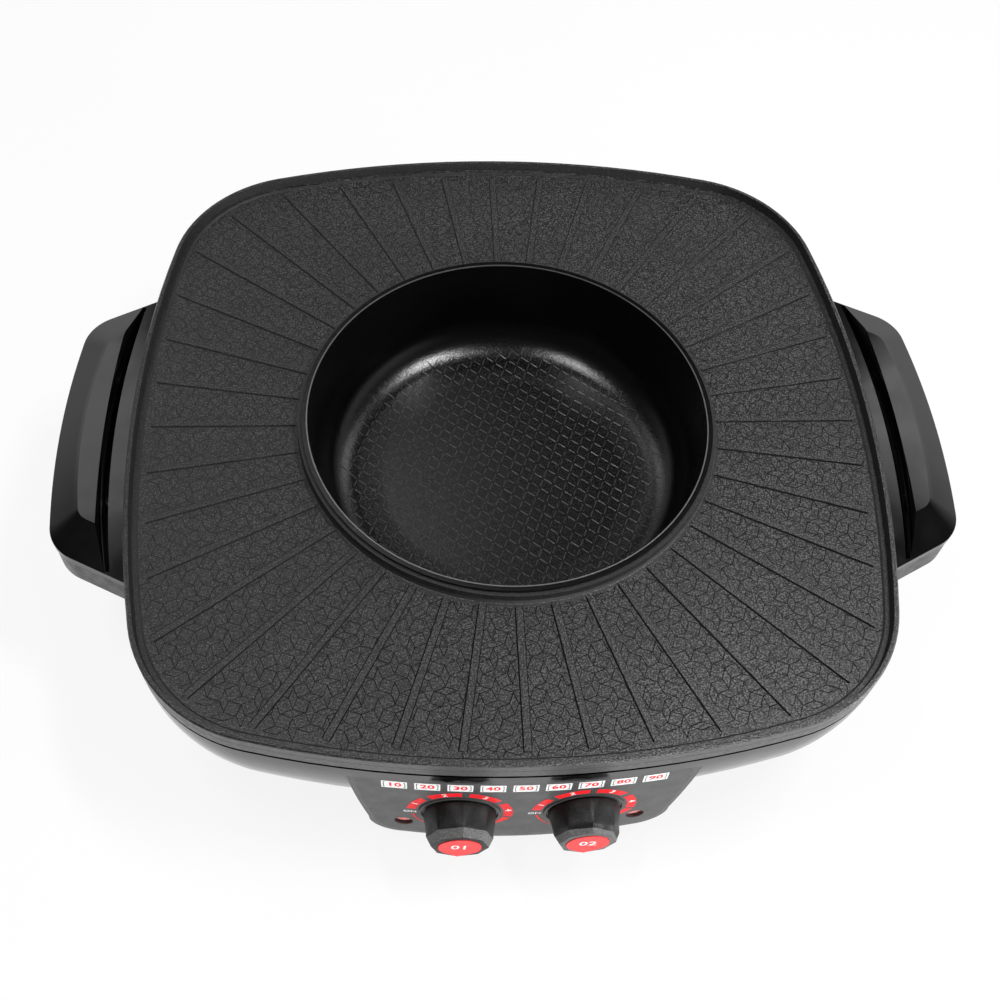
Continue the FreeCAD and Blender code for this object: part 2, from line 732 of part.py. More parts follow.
def make_panel_overlay():
    """Thin printed overlay with a raised ring round each dial."""
    overlay = overlay_block(bore_clearance)
    for name, side in both_sides():
        ring = facing(dial_ring_outer, -dial_ring_height, overlay_thickness / 2)
        ring = ring.cut(facing(dial_ring_inner, -dial_ring_height - 1, overlay_thickness))
        overlay = overlay.fuse(on_face(ring, side * dial_spacing / 2, dial_height))
        hole = facing(thermo_bush_radius + thermo_hole_gap, -2.0, pod_wall)
        for x in (-thermo_screw_x, thermo_screw_x):
            hole = hole.fuse(facing(thermo_screw_head + thermo_hole_gap, -2.0, pod_wall, x))
        overlay = overlay.cut(on_dial(hole, side))
    for x in window_places():
        overlay = overlay.cut(on_face(facing(window_radius, -1.0, pod_wall), x, window_height))
    return overlay


def octagon(radius, y, turn=0.0):
    """Wire of a regular polygon across the dial's axis."""
    step = 2 * math.pi / knob_facets
    points = [Vector(radius * math.cos(step * (i + turn)), y, radius * math.sin(step * (i + turn)))
              for i in range(knob_facets)]
    return Part.makePolygon(points + points[:1])


def make_knob():
    """Dial at the origin, facing -Y: faceted body, chamfered nose, hub with a D bore, cap recess."""
    flat = math.cos(math.pi / knob_facets)
    body = Part.makeLoft([octagon(knob_base_radius / flat, -knob_gap),
                          octagon(knob_shoulder_radius, -knob_shoulder)], True, True)
    body = body.common(Part.makeCone(knob_base_radius, knob_shoulder_radius,
                                     knob_shoulder - knob_gap, Vector(0, -knob_gap, 0),
                                     Vector(0, -1, 0)))
    nose = Part.makeLoft([octagon(knob_shoulder_radius, -knob_shoulder),
                          octagon(knob_face_radius, -knob_length)], True, True)
    hollow = facing(knob_shoulder_radius * flat - knob_wall, -knob_shoulder + knob_hollow_gap, 0)
    hub = facing(hub_radius, -knob_shoulder + hub_root, -knob_gap - hub_end_gap)
    knob = fused([body, nose]).cut(hollow)
    knob = fused([knob, hub])
    knob = knob.cut(d_rod(shaft_radius + bore_clearance, cap_floor_gap - knob_length, 0))
    return knob.cut(facing(cap_radius, -knob_length - 1, cap_thickness - cap_proud - knob_length))


def d_rod(radius, front, back):
    """Round rod along Y with one flat on its upper side."""
    flat = block(-radius, radius, front - 1, back + 1, radius - shaft_flat, radius + 1)
    return facing(radius, front, back).cut(flat)


def make_cap():
    """Round cap in the dial's nose, drawn out to a small pointer at its lower edge."""
    front = -knob_length - cap_proud
    cap = facing(cap_radius - bore_clearance, front, front + cap_thickness)
    turn = math.acos(cap_radius / pointer_radius)
    side = Vector(cap_radius * math.sin(turn), front, -cap_radius * math.cos(turn))
    tip = Vector(0, front, -pointer_radius)
    wire = Part.makePolygon([side, tip, Vector(-side.x, front, side.z), side])
    pointer = Part.Face(wire).extrude(Vector(0, cap_proud, 0))
    return fused([cap, pointer])


def make_thermostat():
    """Control body behind the face with its threaded bush and terminal tabs."""
    back = pod_wall + thermo_gap
    body = block(-thermo_half, thermo_half, back, back + thermo_depth, -thermo_half, thermo_half)
    bush = facing(thermo_bush_radius, 0.0, back + 1)
    tabs = [block(x - tab_half_width, x + tab_half_width, back + thermo_depth,
                  back + thermo_depth + tab_length, z - tab_half_thickness, z + tab_half_thickness)
            for x in (-tab_x, tab_x) for z in (-tab_z, tab_z)]
    body = fused([body, bush] + tabs)
    body = body.cut(facing(shaft_radius + bore_clearance, -1, back + thermo_bore_depth))
    for x in (-thermo_screw_x, thermo_screw_x):
        body = body.cut(facing(thermo_screw_radius, back - 1, pod_wall + thermo_screw_reach, x))
    return body


def make_thermostat_screws():
    """Two screws at each dial, hidden by its skirt."""
    screws = []
    for name, side in both_sides():
        for x in (-thermo_screw_x, thermo_screw_x):
            head = facing(thermo_screw_head, -knob_gap / 2, overlay_thickness, x)
            shank = facing(thermo_screw_radius, overlay_thickness, pod_wall + thermo_screw_reach, x)
            screws.append(on_dial(head.fuse(shank), side))
    return Part.makeCompound(screws)


def make_lenses():
    """Two red lenses behind the windows."""
    lens = facing(window_radius - bore_clearance, window_recess, window_recess + lens_thickness)
    return Part.makeCompound([on_face(lens, x, window_height) for x in window_places()])


def make_lamps():
    """Two neon lamps pushed into the bosses behind the lenses."""
    lamp = facing(window_radius - bore_clearance, window_recess + lens_thickness, lamp_back)
    leads = [facing(lead_radius, lamp_back, lamp_back + lead_length, x)
             for x in (-lead_spacing / 2, lead_spacing / 2)]
    lamp = fused([lamp] + leads)
    return Part.makeCompound([on_face(lamp, x, window_height) for x in window_places()])


# ---------------------------------------------------------------- handles
def handle_ends(inset):
    """Front and back ends of the handle's outline: root, turn, bend and side points in plan."""
    slope = math.radians(handle_end_slope)
    ends = []
    for sign, corner_y, setback in ((-1, handle_front, handle_front_setback),
                                    (1, handle_back, handle_back_setback)):
        shift = inset * (1 - math.sin(slope)) / math.cos(slope)
        corner = Vector(plate_half_x + handle_overhang - setback - inset, sign * (corner_y - shift), 0)
        out = Vector(-math.cos(slope), sign * math.sin(slope), 0)
        along = Vector(2 * handle_bow_share * setback / corner_y, -sign, 0).normalize()
        run = (handle_corner - inset) / math.tan(out.getAngle(along) / 2)
        turn, bend, side = rounding(corner, out, along, run)
        root = corner + out * ((corner.x - plate_half_x + rail_width) / math.cos(slope))
        ends.append((root, turn, bend, side))
    return ends


def slot_arc(reach, end_shift, height, reverse=False):
    """Bowed edge of the slot, from its front end to its back end."""
    x = plate_half_x + rail_width - rail_narrowing + end_shift
    front = Vector(x, -slot_front, height)
    back = Vector(x + slot_skew, slot_back, height)
    middle = Vector(plate_half_x + reach, (slot_back - slot_front) / 2, height)
    return arc(back, middle, front) if reverse else arc(front, middle, back)


def handle_outline(height, inset=0.0):
    """Whole handle in plan: rounded, sloping ends and a bowed side, straight across inside."""
    (root_a, turn_a, bend_a, side_a), (root_b, turn_b, bend_b, side_b) = [
        [point + Vector(0, 0, height) for point in end] for end in handle_ends(inset)]
    middle = Vector(plate_half_x + handle_overhang - inset, (side_a.y + side_b.y) / 2, height)
    return Part.Wire([line(root_a, turn_a), arc(turn_a, bend_a, side_a), arc(side_a, middle, side_b),
                      arc(side_b, bend_b, turn_b), line(turn_b, root_b), line(root_b, root_a)])


def grip_outline(height, inset, end_inset, inner_front, inner_back):
    """Grip in plan: the handle's outline moved in, closed along the slot's outer wall."""
    ends = handle_ends(inset)
    shift = Vector(0, end_inset, height)
    back_shift = Vector(0, -end_inset, height)
    root_a, turn_a, bend_a, side_a = [point + shift for point in ends[0]]
    root_b, turn_b, bend_b, side_b = [point + back_shift for point in ends[1]]
    side = Vector(plate_half_x + handle_overhang - inset, (side_a.y + side_b.y) / 2, height)
    wall = Vector(plate_half_x + rail_width + slot_gap, (slot_back - slot_front) / 2, height)
    front = Vector(plate_half_x + inner_front, height_on(turn_a, root_a, inner_front), height)
    back = Vector(plate_half_x + inner_back, height_on(turn_b, root_b, inner_back), height)
    return Part.Wire([line(front, turn_a), arc(turn_a, bend_a, side_a), arc(side_a, side, side_b),
                      arc(side_b, bend_b, turn_b), line(turn_b, back), arc(back, wall, front)])


def height_on(turn, root, reach):
    """Y where a sloping end meets a distance out from the plate's side."""
    share = (turn.x - plate_half_x - reach) / (turn.x - root.x)
    return turn.y + (root.y - turn.y) * share


def make_side_handle(side):
    """Upper moulding: rail beside the plate, through slot and the raised, bevelled grip."""
    rail_top = rim_top - rail_drop
    grip_top = rim_top - grip_drop
    edge = rim_top - handle_edge_drop
    handle = Part.Face(handle_outline(edge)).extrude(Vector(0, 0, rail_top - edge))
    inner = rail_width - rail_narrowing + slot_end_gap
    grip = Part.makeLoft([
        grip_outline(rail_top, 0.0, 0.0, inner, inner),
        grip_outline(grip_top - grip_chamfer_drop, grip_bevel_inset, grip_bevel_end,
                     grip_bevel_front, grip_bevel_back),
        grip_outline(grip_top, grip_flat_inset, grip_flat_end,
                     grip_flat_front, grip_flat_back)], True, True)
    handle = handle.fuse(grip)
    slot = Part.Face(Part.Wire([
        slot_arc(rail_width, 0.0, edge - 1), slot_end(1, edge - 1),
        slot_arc(rail_width + slot_gap, slot_end_gap, edge - 1, True), slot_end(-1, edge - 1)]))
    handle = handle.cut(slot.extrude(Vector(0, 0, rim_top - edge)))
    handle = handle.cut(prism(edge - 1, rim_top, -handle_gap))
    for x, y in cover_screw_spots():
        handle = handle.cut(rod(x, y, edge - 1, edge + grip_screw_depth, thread_radius))
    return mirrored(handle, side)


def slot_end(sign, height):
    """Short edge that closes the slot at its front or back end."""
    x = plate_half_x + rail_width - rail_narrowing
    first = Vector(x, -slot_front, height) if sign < 0 else Vector(x + slot_skew, slot_back, height)
    return line(first, first + Vector(slot_end_gap, 0, 0))


def cover_screw_spots():
    """Where the screws hold the lower cover to the grip."""
    x = plate_half_x + handle_overhang - grip_screw_inset
    return [(x, y) for y in (-handle_screw_reach, handle_screw_reach)]


def side_rod(y, start, end, radius):
    """Cylinder along X on a handle screw's axis."""
    base = Vector(plate_half_x + start, y, rim_top - handle_screw_drop)
    return Part.makeCylinder(radius, end - start, base, Vector(1, 0, 0))


def make_handle_cover(side):
    """Hollow lower cover under the grip, tapered, with bosses for its screws."""
    low = rim_top - handle_cover_drop
    edge = rim_top - handle_edge_drop
    inset = handle_cover_inset
    cover = Part.makeLoft([handle_outline(low, inset + handle_cover_taper),
                           handle_outline(edge, inset)], True, True)
    pocket = Part.makeLoft([
        handle_outline(low + handle_cover_wall, inset + handle_cover_taper + handle_cover_wall),
        handle_outline(edge + 1, inset + handle_cover_wall)], True, True)
    pocket = pocket.cut(block(0, plate_half_x + handle_cover_wall, -plate_half_y, plate_half_y,
                              low, edge + 1))
    for y in (-handle_screw_reach, handle_screw_reach):
        pocket = pocket.cut(side_rod(y, -handle_pad_depth, handle_boss_length, handle_boss_radius))
    for x, y in cover_screw_spots():
        pocket = pocket.cut(rod(x, y, low, edge + 1, handle_boss_radius))
    cover = cover.cut(pocket).cut(bowl(0, 0, 0.05)).cut(prism(base_top - 1, edge + 1, -handle_gap))
    for y in (-handle_screw_reach, handle_screw_reach):
        cover = cover.cut(side_rod(y, -handle_pad_depth, handle_screw_reach_out, thread_radius))
    for x, y in cover_screw_spots():
        cover = cover.cut(rod(x, y, low - 1, edge + 1, thread_radius))
        cover = cover.cut(rod(x, y, low - 1, low + screw_head_height, screw_head_radius))
    return mirrored(cover, side)


def make_handle_screws():
    """Two screws into each handle from inside the base, and two up into each grip."""
    low = rim_top - handle_cover_drop
    edge = rim_top - handle_edge_drop
    screws = []
    for side in (1, -1):
        for y in (-handle_screw_reach, handle_screw_reach):
            start = -handle_pad_depth - screw_head_height
            head = side_rod(y, start, -handle_pad_depth, screw_head_radius)
            shank = side_rod(y, -handle_pad_depth, handle_screw_reach_out, thread_radius)
            screws.append(mirrored(head.fuse(shank), side))
        for x, y in cover_screw_spots():
            head = rod(x, y, low, low + screw_head_height, screw_head_radius)
            shank = rod(x, y, low + screw_head_height, edge + grip_screw_depth, thread_radius)
            screws.append(mirrored(head.fuse(shank), side))
    return Part.makeCompound(screws)


def mirrored(shape, side):
    """The right-hand shape, or its mirror image on the left."""
    return shape if side > 0 else shape.mirror(ORIGIN, Vector(1, 0, 0))


# ---------------------------------------------------------------- heating parts
def make_heating_plate():
    """Cast disc under the pot, with a groove for its ring element and spacer sockets."""
    disc = rod(0, 0, heater_bottom, heater_top, heater_radius)
    disc = disc.cut(Part.makeTorus(pot_ring_radius, tube_radius, Vector(0, 0, heater_bottom)))
    return disc.cut(rod(0, 0, heater_bottom - 1, heater_top + 1, heater_hole_radius))


def ring_element(radius, level, gap_angle, drop):
    """Open ring of tube whose two ends turn down into terminal pins."""
    start = math.radians(90 + gap_angle)
    centre = Vector(radius * math.cos(start), radius * math.sin(start), level)
    tangent = Vector(math.sin(start), -math.cos(start), 0)
    circle = Part.Face(Part.Wire(Part.makeCircle(tube_radius, centre, tangent)))
    pieces = [circle.revolve(ORIGIN, UP, 360 - 2 * gap_angle)]
    for x, y in ring_ends(radius, gap_angle):
        pieces.append(Part.makeSphere(tube_radius, Vector(x, y, level)))
        pieces.append(rod(x, y, level - drop, level, tube_radius))
        pieces.append(rod(x, y, level - drop - pin_length, level - drop, pin_radius))
    return fused(pieces)


def ring_ends(radius, gap_angle):
    """Where a ring element's two ends turn down, at the back."""
    return [(radius * math.cos(math.radians(angle)), radius * math.sin(math.radians(angle)))
            for angle in (90 + gap_angle, 90 - gap_angle)]


def make_heat_shield():
    """Pressed steel shield: turned-up edge, flange, throat round the pot and a vented floor."""
    flange_low = shield_height - sheet
    shield = turned([
        (shield_radius, flange_low), (shield_radius, shield_height + shield_edge),
        (shield_radius - sheet, shield_height + shield_edge),
        (shield_radius - sheet, shield_height),
        (shield_throat_top, shield_height), (shield_throat_foot, shield_floor + sheet),
        (shield_vent_radius, shield_floor + sheet), (shield_vent_radius, shield_floor),
        (shield_throat_foot + sheet, shield_floor), (shield_throat_top + sheet, flange_low)])
    for x, y in shield_post_places():
        shield = shield.cut(rod(x, y, flange_low - 1, shield_height + 1, thread_radius))
    for x, y in spacer_places():
        shield = shield.cut(rod(x, y, shield_floor - 1, shield_floor + 2, spacer_radius))
    hole_radius_wide = tube_radius + shield_hole_gap
    for x, y in ring_ends(grill_ring_radius, grill_ring_gap_angle):
        shield = shield.cut(rod(x, y, flange_low - 1, shield_height + 1, hole_radius_wide))
    for x, y in ring_ends(pot_ring_radius, pot_ring_gap_angle):
        shield = shield.cut(rod(x, y, shield_floor - 1, shield_floor + 2, hole_radius_wide))
    return shield


def spacer_places():
    """Three spacers under the heating plate."""
    return [(spacer_circle * math.cos(math.radians(angle)),
             spacer_circle * math.sin(math.radians(angle))) for angle in (30, 150, 270)]


def make_spacers():
    """Three steel spacers from the base's cover to the heating plate."""
    return Part.makeCompound([rod(x, y, base_bottom, heater_bottom, spacer_radius)
                              for x, y in spacer_places()])


def make_shield_screws():
    """Four screws that hold the shield on its posts."""
    screws = []
    for x, y in shield_post_places():
        head = rod(x, y, shield_height, shield_height + screw_head_height, screw_head_radius)
        shank = rod(x, y, shield_height - screw_grip, shield_height, thread_radius)
        screws.append(head.fuse(shank))
    return Part.makeCompound(screws)


def make_element_brackets():
    """Six folded saddles that hold the grill element up against the plate."""
    low_side = grill_ring_radius - bracket_half
    high_side = grill_ring_radius + bracket_half
    saddle = block(low_side, high_side, -bracket_half, bracket_half, shield_height,
                   grill_ring_level + bracket_hold)
    hollow = block(low_side + bracket_wall, high_side - bracket_wall, -bracket_half - 1,
                   bracket_half + 1, shield_height - 1,
                   grill_ring_level - tube_radius - bracket_wall)
    saddle = saddle.cut(hollow)
    saddle = saddle.cut(Part.makeTorus(grill_ring_radius, tube_radius,
                                       Vector(0, 0, grill_ring_level)))
    brackets = []
    for index in range(bracket_count):
        bracket = saddle.copy()
        bracket.rotate(ORIGIN, UP, 360.0 * index / bracket_count)
        brackets.append(bracket)
    return Part.makeCompound(brackets)


def make_terminal_block():
    """Ceramic block with three raised clamps, on its pedestal behind the throat."""
    top = terminal_floor_height + terminal_height
    body = block(-terminal_half_x, terminal_half_x, terminal_y - terminal_half_y,
                 terminal_y + terminal_half_y, terminal_floor_height, top)
    clamps = [block(x - clamp_half_x, x + clamp_half_x, terminal_y - clamp_half_y,
                    terminal_y + clamp_half_y, top, top + clamp_height)
              for x in (-clamp_pitch, 0, clamp_pitch)]
    return fused([body] + clamps)


def inlet_block(margin_x, margin_z, back, front):
    """Block round the inlet's axis, between two distances out from its face."""
    half_x = inlet_half_x + margin_x
    half_z = inlet_half_z + margin_z
    return block(-half_x, half_x, inlet_face_y + back, inlet_face_y + front,
                 inlet_height - half_z, inlet_height + half_z)


def make_power_inlet():
    """Recessed inlet: flange and shroud."""
    flange = inlet_block(inlet_flange_x, inlet_flange_z, 0.0, inlet_flange)
    inlet = fused([flange, inlet_block(0.0, 0.0, -inlet_depth, 0.0)])
    inlet = inlet.cut(inlet_block(-inlet_wall, -inlet_wall, inlet_floor - inlet_depth,
                                  inlet_flange + 1))
    return inlet.cut(make_inlet_pins())


def make_inlet_pins():
    """Three round pins through the back of the inlet."""
    pins = []
    start = inlet_face_y - inlet_depth - inlet_pin_tail
    for x, z in ((-inlet_pin_x, -inlet_pin_low), (inlet_pin_x, -inlet_pin_low), (0, inlet_pin_high)):
        pins.append(Part.makeCylinder(inlet_pin_radius, inlet_pin_length,
                                      Vector(x, start, inlet_height + z), Vector(0, 1, 0)))
    return Part.makeCompound(pins)


# ---------------------------------------------------------------- all nodes
def build():
    """Fills the table of node names and shapes."""
    shapes["grill_plate"] = make_grill_plate()
    shapes["inner_pot"] = make_inner_pot()
    shapes["base_housing"] = make_base_housing()
    shapes["bottom_cover"] = make_bottom_cover()
    shapes["rubber_feet"] = make_rubber_feet()
    shapes["cover_screws"] = make_cover_screws()
    shapes["plate_screws"] = make_plate_screws()
    shapes["control_pod"] = make_control_pod()
    shapes["panel_overlay"] = make_panel_overlay()
    knob, cap, thermostat = make_knob(), make_cap(), make_thermostat()
    shaft = d_rod(shaft_radius, cap_floor_gap + shaft_end_gap - knob_length,
                  pod_wall + thermo_bore_depth - shaft_tail_gap)
    for piece in (knob, cap, shaft):
        piece.rotate(ORIGIN, Vector(0, -1, 0), knob_rest_turn)
    for name, side in both_sides():
        shapes["knob_" + name] = on_dial(knob, side)
        shapes["knob_cap_" + name] = on_dial(cap, side)
        shapes["control_shaft_" + name] = on_dial(shaft, side)
        shapes["thermostat_" + name] = on_dial(thermostat, side)
    shapes["thermostat_screws"] = make_thermostat_screws()
    shapes["indicator_lenses"] = make_lenses()
    shapes["indicator_lamps"] = make_lamps()
    for name, side in both_sides():
        shapes["side_handle_" + name] = make_side_handle(side)
        shapes["handle_cover_" + name] = make_handle_cover(side)
    shapes["handle_screws"] = make_handle_screws()
    shapes["pot_heating_plate"] = make_heating_plate()
    shapes["pot_heating_element"] = ring_element(pot_ring_radius, heater_bottom,
                                                 pot_ring_gap_angle, pot_ring_drop)
    shapes["grill_heating_element"] = ring_element(grill_ring_radius, grill_ring_level,
                                                   grill_ring_gap_angle, grill_ring_drop)
    shapes["heat_shield"] = make_heat_shield()
    shapes["heater_spacers"] = make_spacers()
    shapes["shield_screws"] = make_shield_screws()
    shapes["element_brackets"] = make_element_brackets()
    shapes["terminal_block"] = make_terminal_block()
    shapes["power_inlet"] = make_power_inlet()
    shapes["inlet_pins"] = make_inlet_pins()


build()
os.makedirs("parts", exist_ok=True)
for node, shape in shapes.items():
    shape.exportStep("parts/" + node + ".step")
    print(node, len(shape.Solids), shape.isValid(), round(shape.Volume / 1000, 2))
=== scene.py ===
"""Looks of the electric grill and hot pot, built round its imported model. Metres, +Z up."""

import json
import math
import random

import bpy
from mathutils import Matrix, Quaternion, Vector


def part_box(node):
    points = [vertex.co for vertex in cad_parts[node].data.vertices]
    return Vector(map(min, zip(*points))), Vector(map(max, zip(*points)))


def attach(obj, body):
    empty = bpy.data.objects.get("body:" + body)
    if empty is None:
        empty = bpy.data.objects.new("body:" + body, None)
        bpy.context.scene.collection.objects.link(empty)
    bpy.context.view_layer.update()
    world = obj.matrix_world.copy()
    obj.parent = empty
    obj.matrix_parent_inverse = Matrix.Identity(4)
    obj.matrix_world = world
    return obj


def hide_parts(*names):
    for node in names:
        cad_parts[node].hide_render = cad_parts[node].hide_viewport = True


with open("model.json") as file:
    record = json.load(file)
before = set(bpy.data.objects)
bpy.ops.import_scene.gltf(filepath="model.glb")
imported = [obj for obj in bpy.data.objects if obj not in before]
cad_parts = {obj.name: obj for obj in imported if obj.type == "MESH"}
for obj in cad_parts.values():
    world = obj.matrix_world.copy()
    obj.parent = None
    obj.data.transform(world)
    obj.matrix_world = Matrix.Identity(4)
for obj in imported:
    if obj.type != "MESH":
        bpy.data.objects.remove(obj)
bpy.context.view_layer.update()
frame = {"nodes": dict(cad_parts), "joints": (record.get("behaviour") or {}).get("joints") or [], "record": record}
nodes = frame["nodes"]
joints = {joint["name"]: joint for joint in frame["joints"]}
MM = 0.001

# ------------------------------------------------------------------ places read from the frame
collar_proud = 0.7 * MM        # of the plate's collar over its rim
surface_drop = 6.2 * MM        # rim top to the cooking surface
pot_base = 3.0 * MM            # thickness of the pot's floor
rim_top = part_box("grill_plate")[1].z - collar_proud
plate_half_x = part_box("grill_plate")[1].x
plate_half_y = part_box("grill_plate")[1].y
cooking_floor = rim_top - surface_drop
pot_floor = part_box("inner_pot")[0].z + pot_base
lip_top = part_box("inner_pot")[1].z
pod_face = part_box("control_pod")[0].y

# ------------------------------------------------------------------ grill plate
side_bow = 649 * MM            # radius of its left and right sides
end_bow = 546 * MM             # radius of its front and back
corner_radius = 78 * MM
surface_inset = 9.0 * MM       # outer edge to the cooking surface
collar_foot = 117.0 * MM       # radius at the collar's foot
bar_count = 40
bar_start = 115.8 * MM         # from the pot's axis
bar_half_width = 1.7 * MM
bar_end_inset = 9.8 * MM       # outer edge to a bar's end
bar_end_step = 0.5 * MM        # in which that end is sought
shadow_left_half = 0.4 * MM      # half width of the painted shadow, a dark bead along a bar's left foot
shadow_right_half = 0.25 * MM
shadow_offset = 0.8              # of its half width, from the bar's side
shadow_height = 0.2 * MM

# ------------------------------------------------------------------ plate's diamonds
diamond_pitch = (8.09 * MM, 8.03 * MM)
diamond_start = (6.74 * MM, 7.78 * MM)    # middle of one diamond that lies along Y
diamond_turn = math.radians(1.4)          # of the lattice about the pot's axis
diamond_half_length = 5.7 * MM
diamond_half_width = 2.15 * MM
diamond_line_half = 0.21 * MM
diamond_line_height = 0.12 * MM
diamond_wear = (0.6, 1.15)                # least and most of a line's size
diamond_margin = 3                        # columns tried past the plate's edge
diamond_seed = 11

# ------------------------------------------------------------------ pot's dashes
dash_start = Vector((4.35, 3.45)) * MM    # one crossing of the lattice on the pot's floor
dash_rows = ((6.96 * MM, 69.1), (7.07 * MM, -38.0))    # spacing, and direction in degrees
dash_reach = 93.5 * MM         # of the pattern from the pot's axis
dash_margin = 1.3              # rows tried, to those that a square lattice would need
dash_half_length = 2.5 * MM
dash_even = 0.6                # share of that length that doesn't wear
dash_line_half = 0.34 * MM
dash_line_height = 0.18 * MM
dash_wear = (0.55, 1.1)
dash_seed = 5

# ------------------------------------------------------------------ pot's lining
flat_reach = 70.0 * MM         # of the pot's flat floor
rise_reach = 84.0 * MM         # of the slight rise round it
rise_ease = (1 * MM, 0.02 * MM)    # first step of the rise, outwards and up
lining_rise = 4.5              # degrees
lining_lift = 0.15 * MM        # over the solid's floor
lining_edge = (0.5 * MM, 1.0 * MM)     # last step of its upper edge, outwards and up
lining_sink = 1.0 * MM         # of its hidden back into the floor
wall_sink = 0.7 * MM           # and into the wall
wall_foot_reach = 105.6 * MM
mouth_reach = 109.4 * MM
pot_corner = 16.0 * MM         # radius of the solid's corner
corner_middle = (4.2 * MM, 4.1 * MM)   # point in that corner, from the wall and the floor
corner_steps = 16
lining_turns = range(0, 360, 3)
lining_crease = math.radians(40)
bare_reach = 110.0 * MM        # of the bare metal edge round the mouth
bare_height = 0.5 * MM

# ------------------------------------------------------------------ printed panel
pod_bow = 528 * MM             # radius of the pod's face
print_height = 0.06 * MM
mark_height = 2 * print_height    # of marks that lie on other print
label_count = 9
label_steps = 4                # in which a label follows the bowed face
label_pitch = 15.8 * MM
label_drop = 28.5 * MM         # rim top to the middle of the labels
label_half_width = 6.2 * MM
label_half_height = 4.1 * MM
bracket_reach = 5.3 * MM
bracket_half_height = 3.1 * MM
bracket_turn = 1.0 * MM
bracket_line = 0.4 * MM
arc_inner = 22.0 * MM
arc_outer = 26.6 * MM
arc_spans = ((174, 138), (129, 88.5), (80, 40), (31, -11))    # degrees
arc_steps = 12
tail_span = (-15, -40)         # degrees, of the tapering end of the arcs
tail_steps = 8
tail_taper = 3.6 * MM
thin_span = (190, 230)         # degrees, of the thin line below
thin_radius = 24 * MM
thin_half = 0.55 * MM
thin_taper = 0.4 * MM
on_left = 24.9 * MM            # dial's axis to the middle of its ON mark
on_drop = 1.5 * MM
capital_share = 0.7            # a capital's height to the font's size
label_type = (4.4 * MM, 1.15, 0.14 * MM)    # height of its capitals, widening and boldness
arc_type = (3.1 * MM, 1.2, 0.1 * MM)
on_type = (2.3 * MM, 1.3, 0.08 * MM)
cap_type = (5.4 * MM, 1.2, 0.1 * MM)

# ------------------------------------------------------------------ dials
dial_profile = (               # apothem and lift from the panel in mm, and share of the facets
    (10.86, 16.4, 0.0), (10.86, 17.5, 0.0), (11.0, 17.6, 0.0), (13.0, 17.6, 0.9),
    (13.3, 17.45, 1.0), (15.3, 13.25, 1.0), (15.5, 12.8, 1.0), (15.85, 11.0, 0.8),
    (16.6, 8.0, 0.5), (17.5, 4.5, 0.2), (18.3, 1.3, 0.0), (18.25, 1.0, 0.0),
    (16.6, 1.0, 0.0), (14.0, 12.3, 0.0))
dial_steps = 96
dial_rest = math.radians(-5)   # the dials rest turned a little clockwise
dial_crease = math.radians(28)
facet_count = 8
facet_width = 45.0             # degrees
facet_sharp = 0.75             # share of a flat facet in the soft one; the rest is rounded
facet_swell = 0.041            # of the rounded facet, to the apothem
nose_span = (13.1 * MM, 17.45 * MM)    # lifts between which the nose is painted paler, a painted highlight
cap_thickness = 18.0 * MM      # from the panel to the front of a dial's cap
cap_mark_rise = 0.4 * MM       # of the number over the cap's middle
cap_mark_depth = 0.04 * MM
cap_mark_sink = 0.02 * MM

# ------------------------------------------------------------------ places where coatings change and where shade is painted
bar_side_span = (0.05 * MM, 0.55 * MM)    # heights over the cooking surface
ledge_span = (0.8 * MM, 1.2 * MM)
wall_start = 0.9 * MM          # of the collar's wall
collar_margin = 3 * MM         # past the collar's foot, still shaded
inner_facing = -0.03           # normal times place: below this a wall faces the axis
outer_facing = plate_half_x * 0.7    # and above this it faces outwards
ledge_fade = (0.13, 0.18)      # distance aside over which the painted shade of the side ledges sets in
skirt_drop = 0.5 * MM          # rim top to where the outer skirt's finer grain starts
back_way = (-0.45, 0.9, 0)     # towards the back and left, where the painted shade of the pattern and of the bar sides fades
back_fade = (-0.12, 0.06)
left_way = (-0.95, -0.3, 0)    # towards the left, where shade is painted on the plate
left_fade = (-0.05, 0.2)
pot_fade = (3 * MM, 9 * MM)    # heights over the pot's floor where its grain fades

# ------------------------------------------------------------------ camera and lamps
camera_pitch = math.radians(56.33)
camera_yaw = math.radians(-6.71)
camera_roll = math.radians(4.84)
camera_target = Vector((-7.11, -56.2, 0.0)) * MM
camera_distance = 0.66226
camera_lens = 1.26322          # to the sensor's width
sensor_width = 36.0
lamp_aim = (0, 0, 0.1)
lamps = (                      # name, place, size, watts and turn in degrees
    ("key", (0.52, -0.07, 1.35), (0.12, 0.45), 10.5, -59),
    ("second", (-0.42, -0.1, 1.35), (0.12, 0.45), 5.0, 59),
    ("haze", (-0.14, 0.78, 1.35), (0.36, 0.22), 0.55, 0),
    ("strip_left", (-0.75, 0.95, 1.25), (0.5, 0.6), 1.8, 0),
    ("strip_right", (1.05, 0.95, 1.25), (0.5, 0.6), 2.4, 0),
    ("front", (0.5, -1.45, 0.27), (0.6, 0.2), 12.0, 0),
    ("right", (1.3, -0.6, 0.28), (0.4, 0.25), 10.0, 0))
room_strength = 0.25           # of the world's even light
ceiling_tone = 0.06
ceiling_fade = (0.25, 0.6)     # height of a direction over which the backdrop ends
backdrop_way = (0.5, 0.85, 0)  # the backdrop stands behind and to the right
backdrop_fade = (-0.45, 0.05)
floor_size = 12.0
floor_white = 0.86             # share of plain white in the floor; the rest shows the shadow


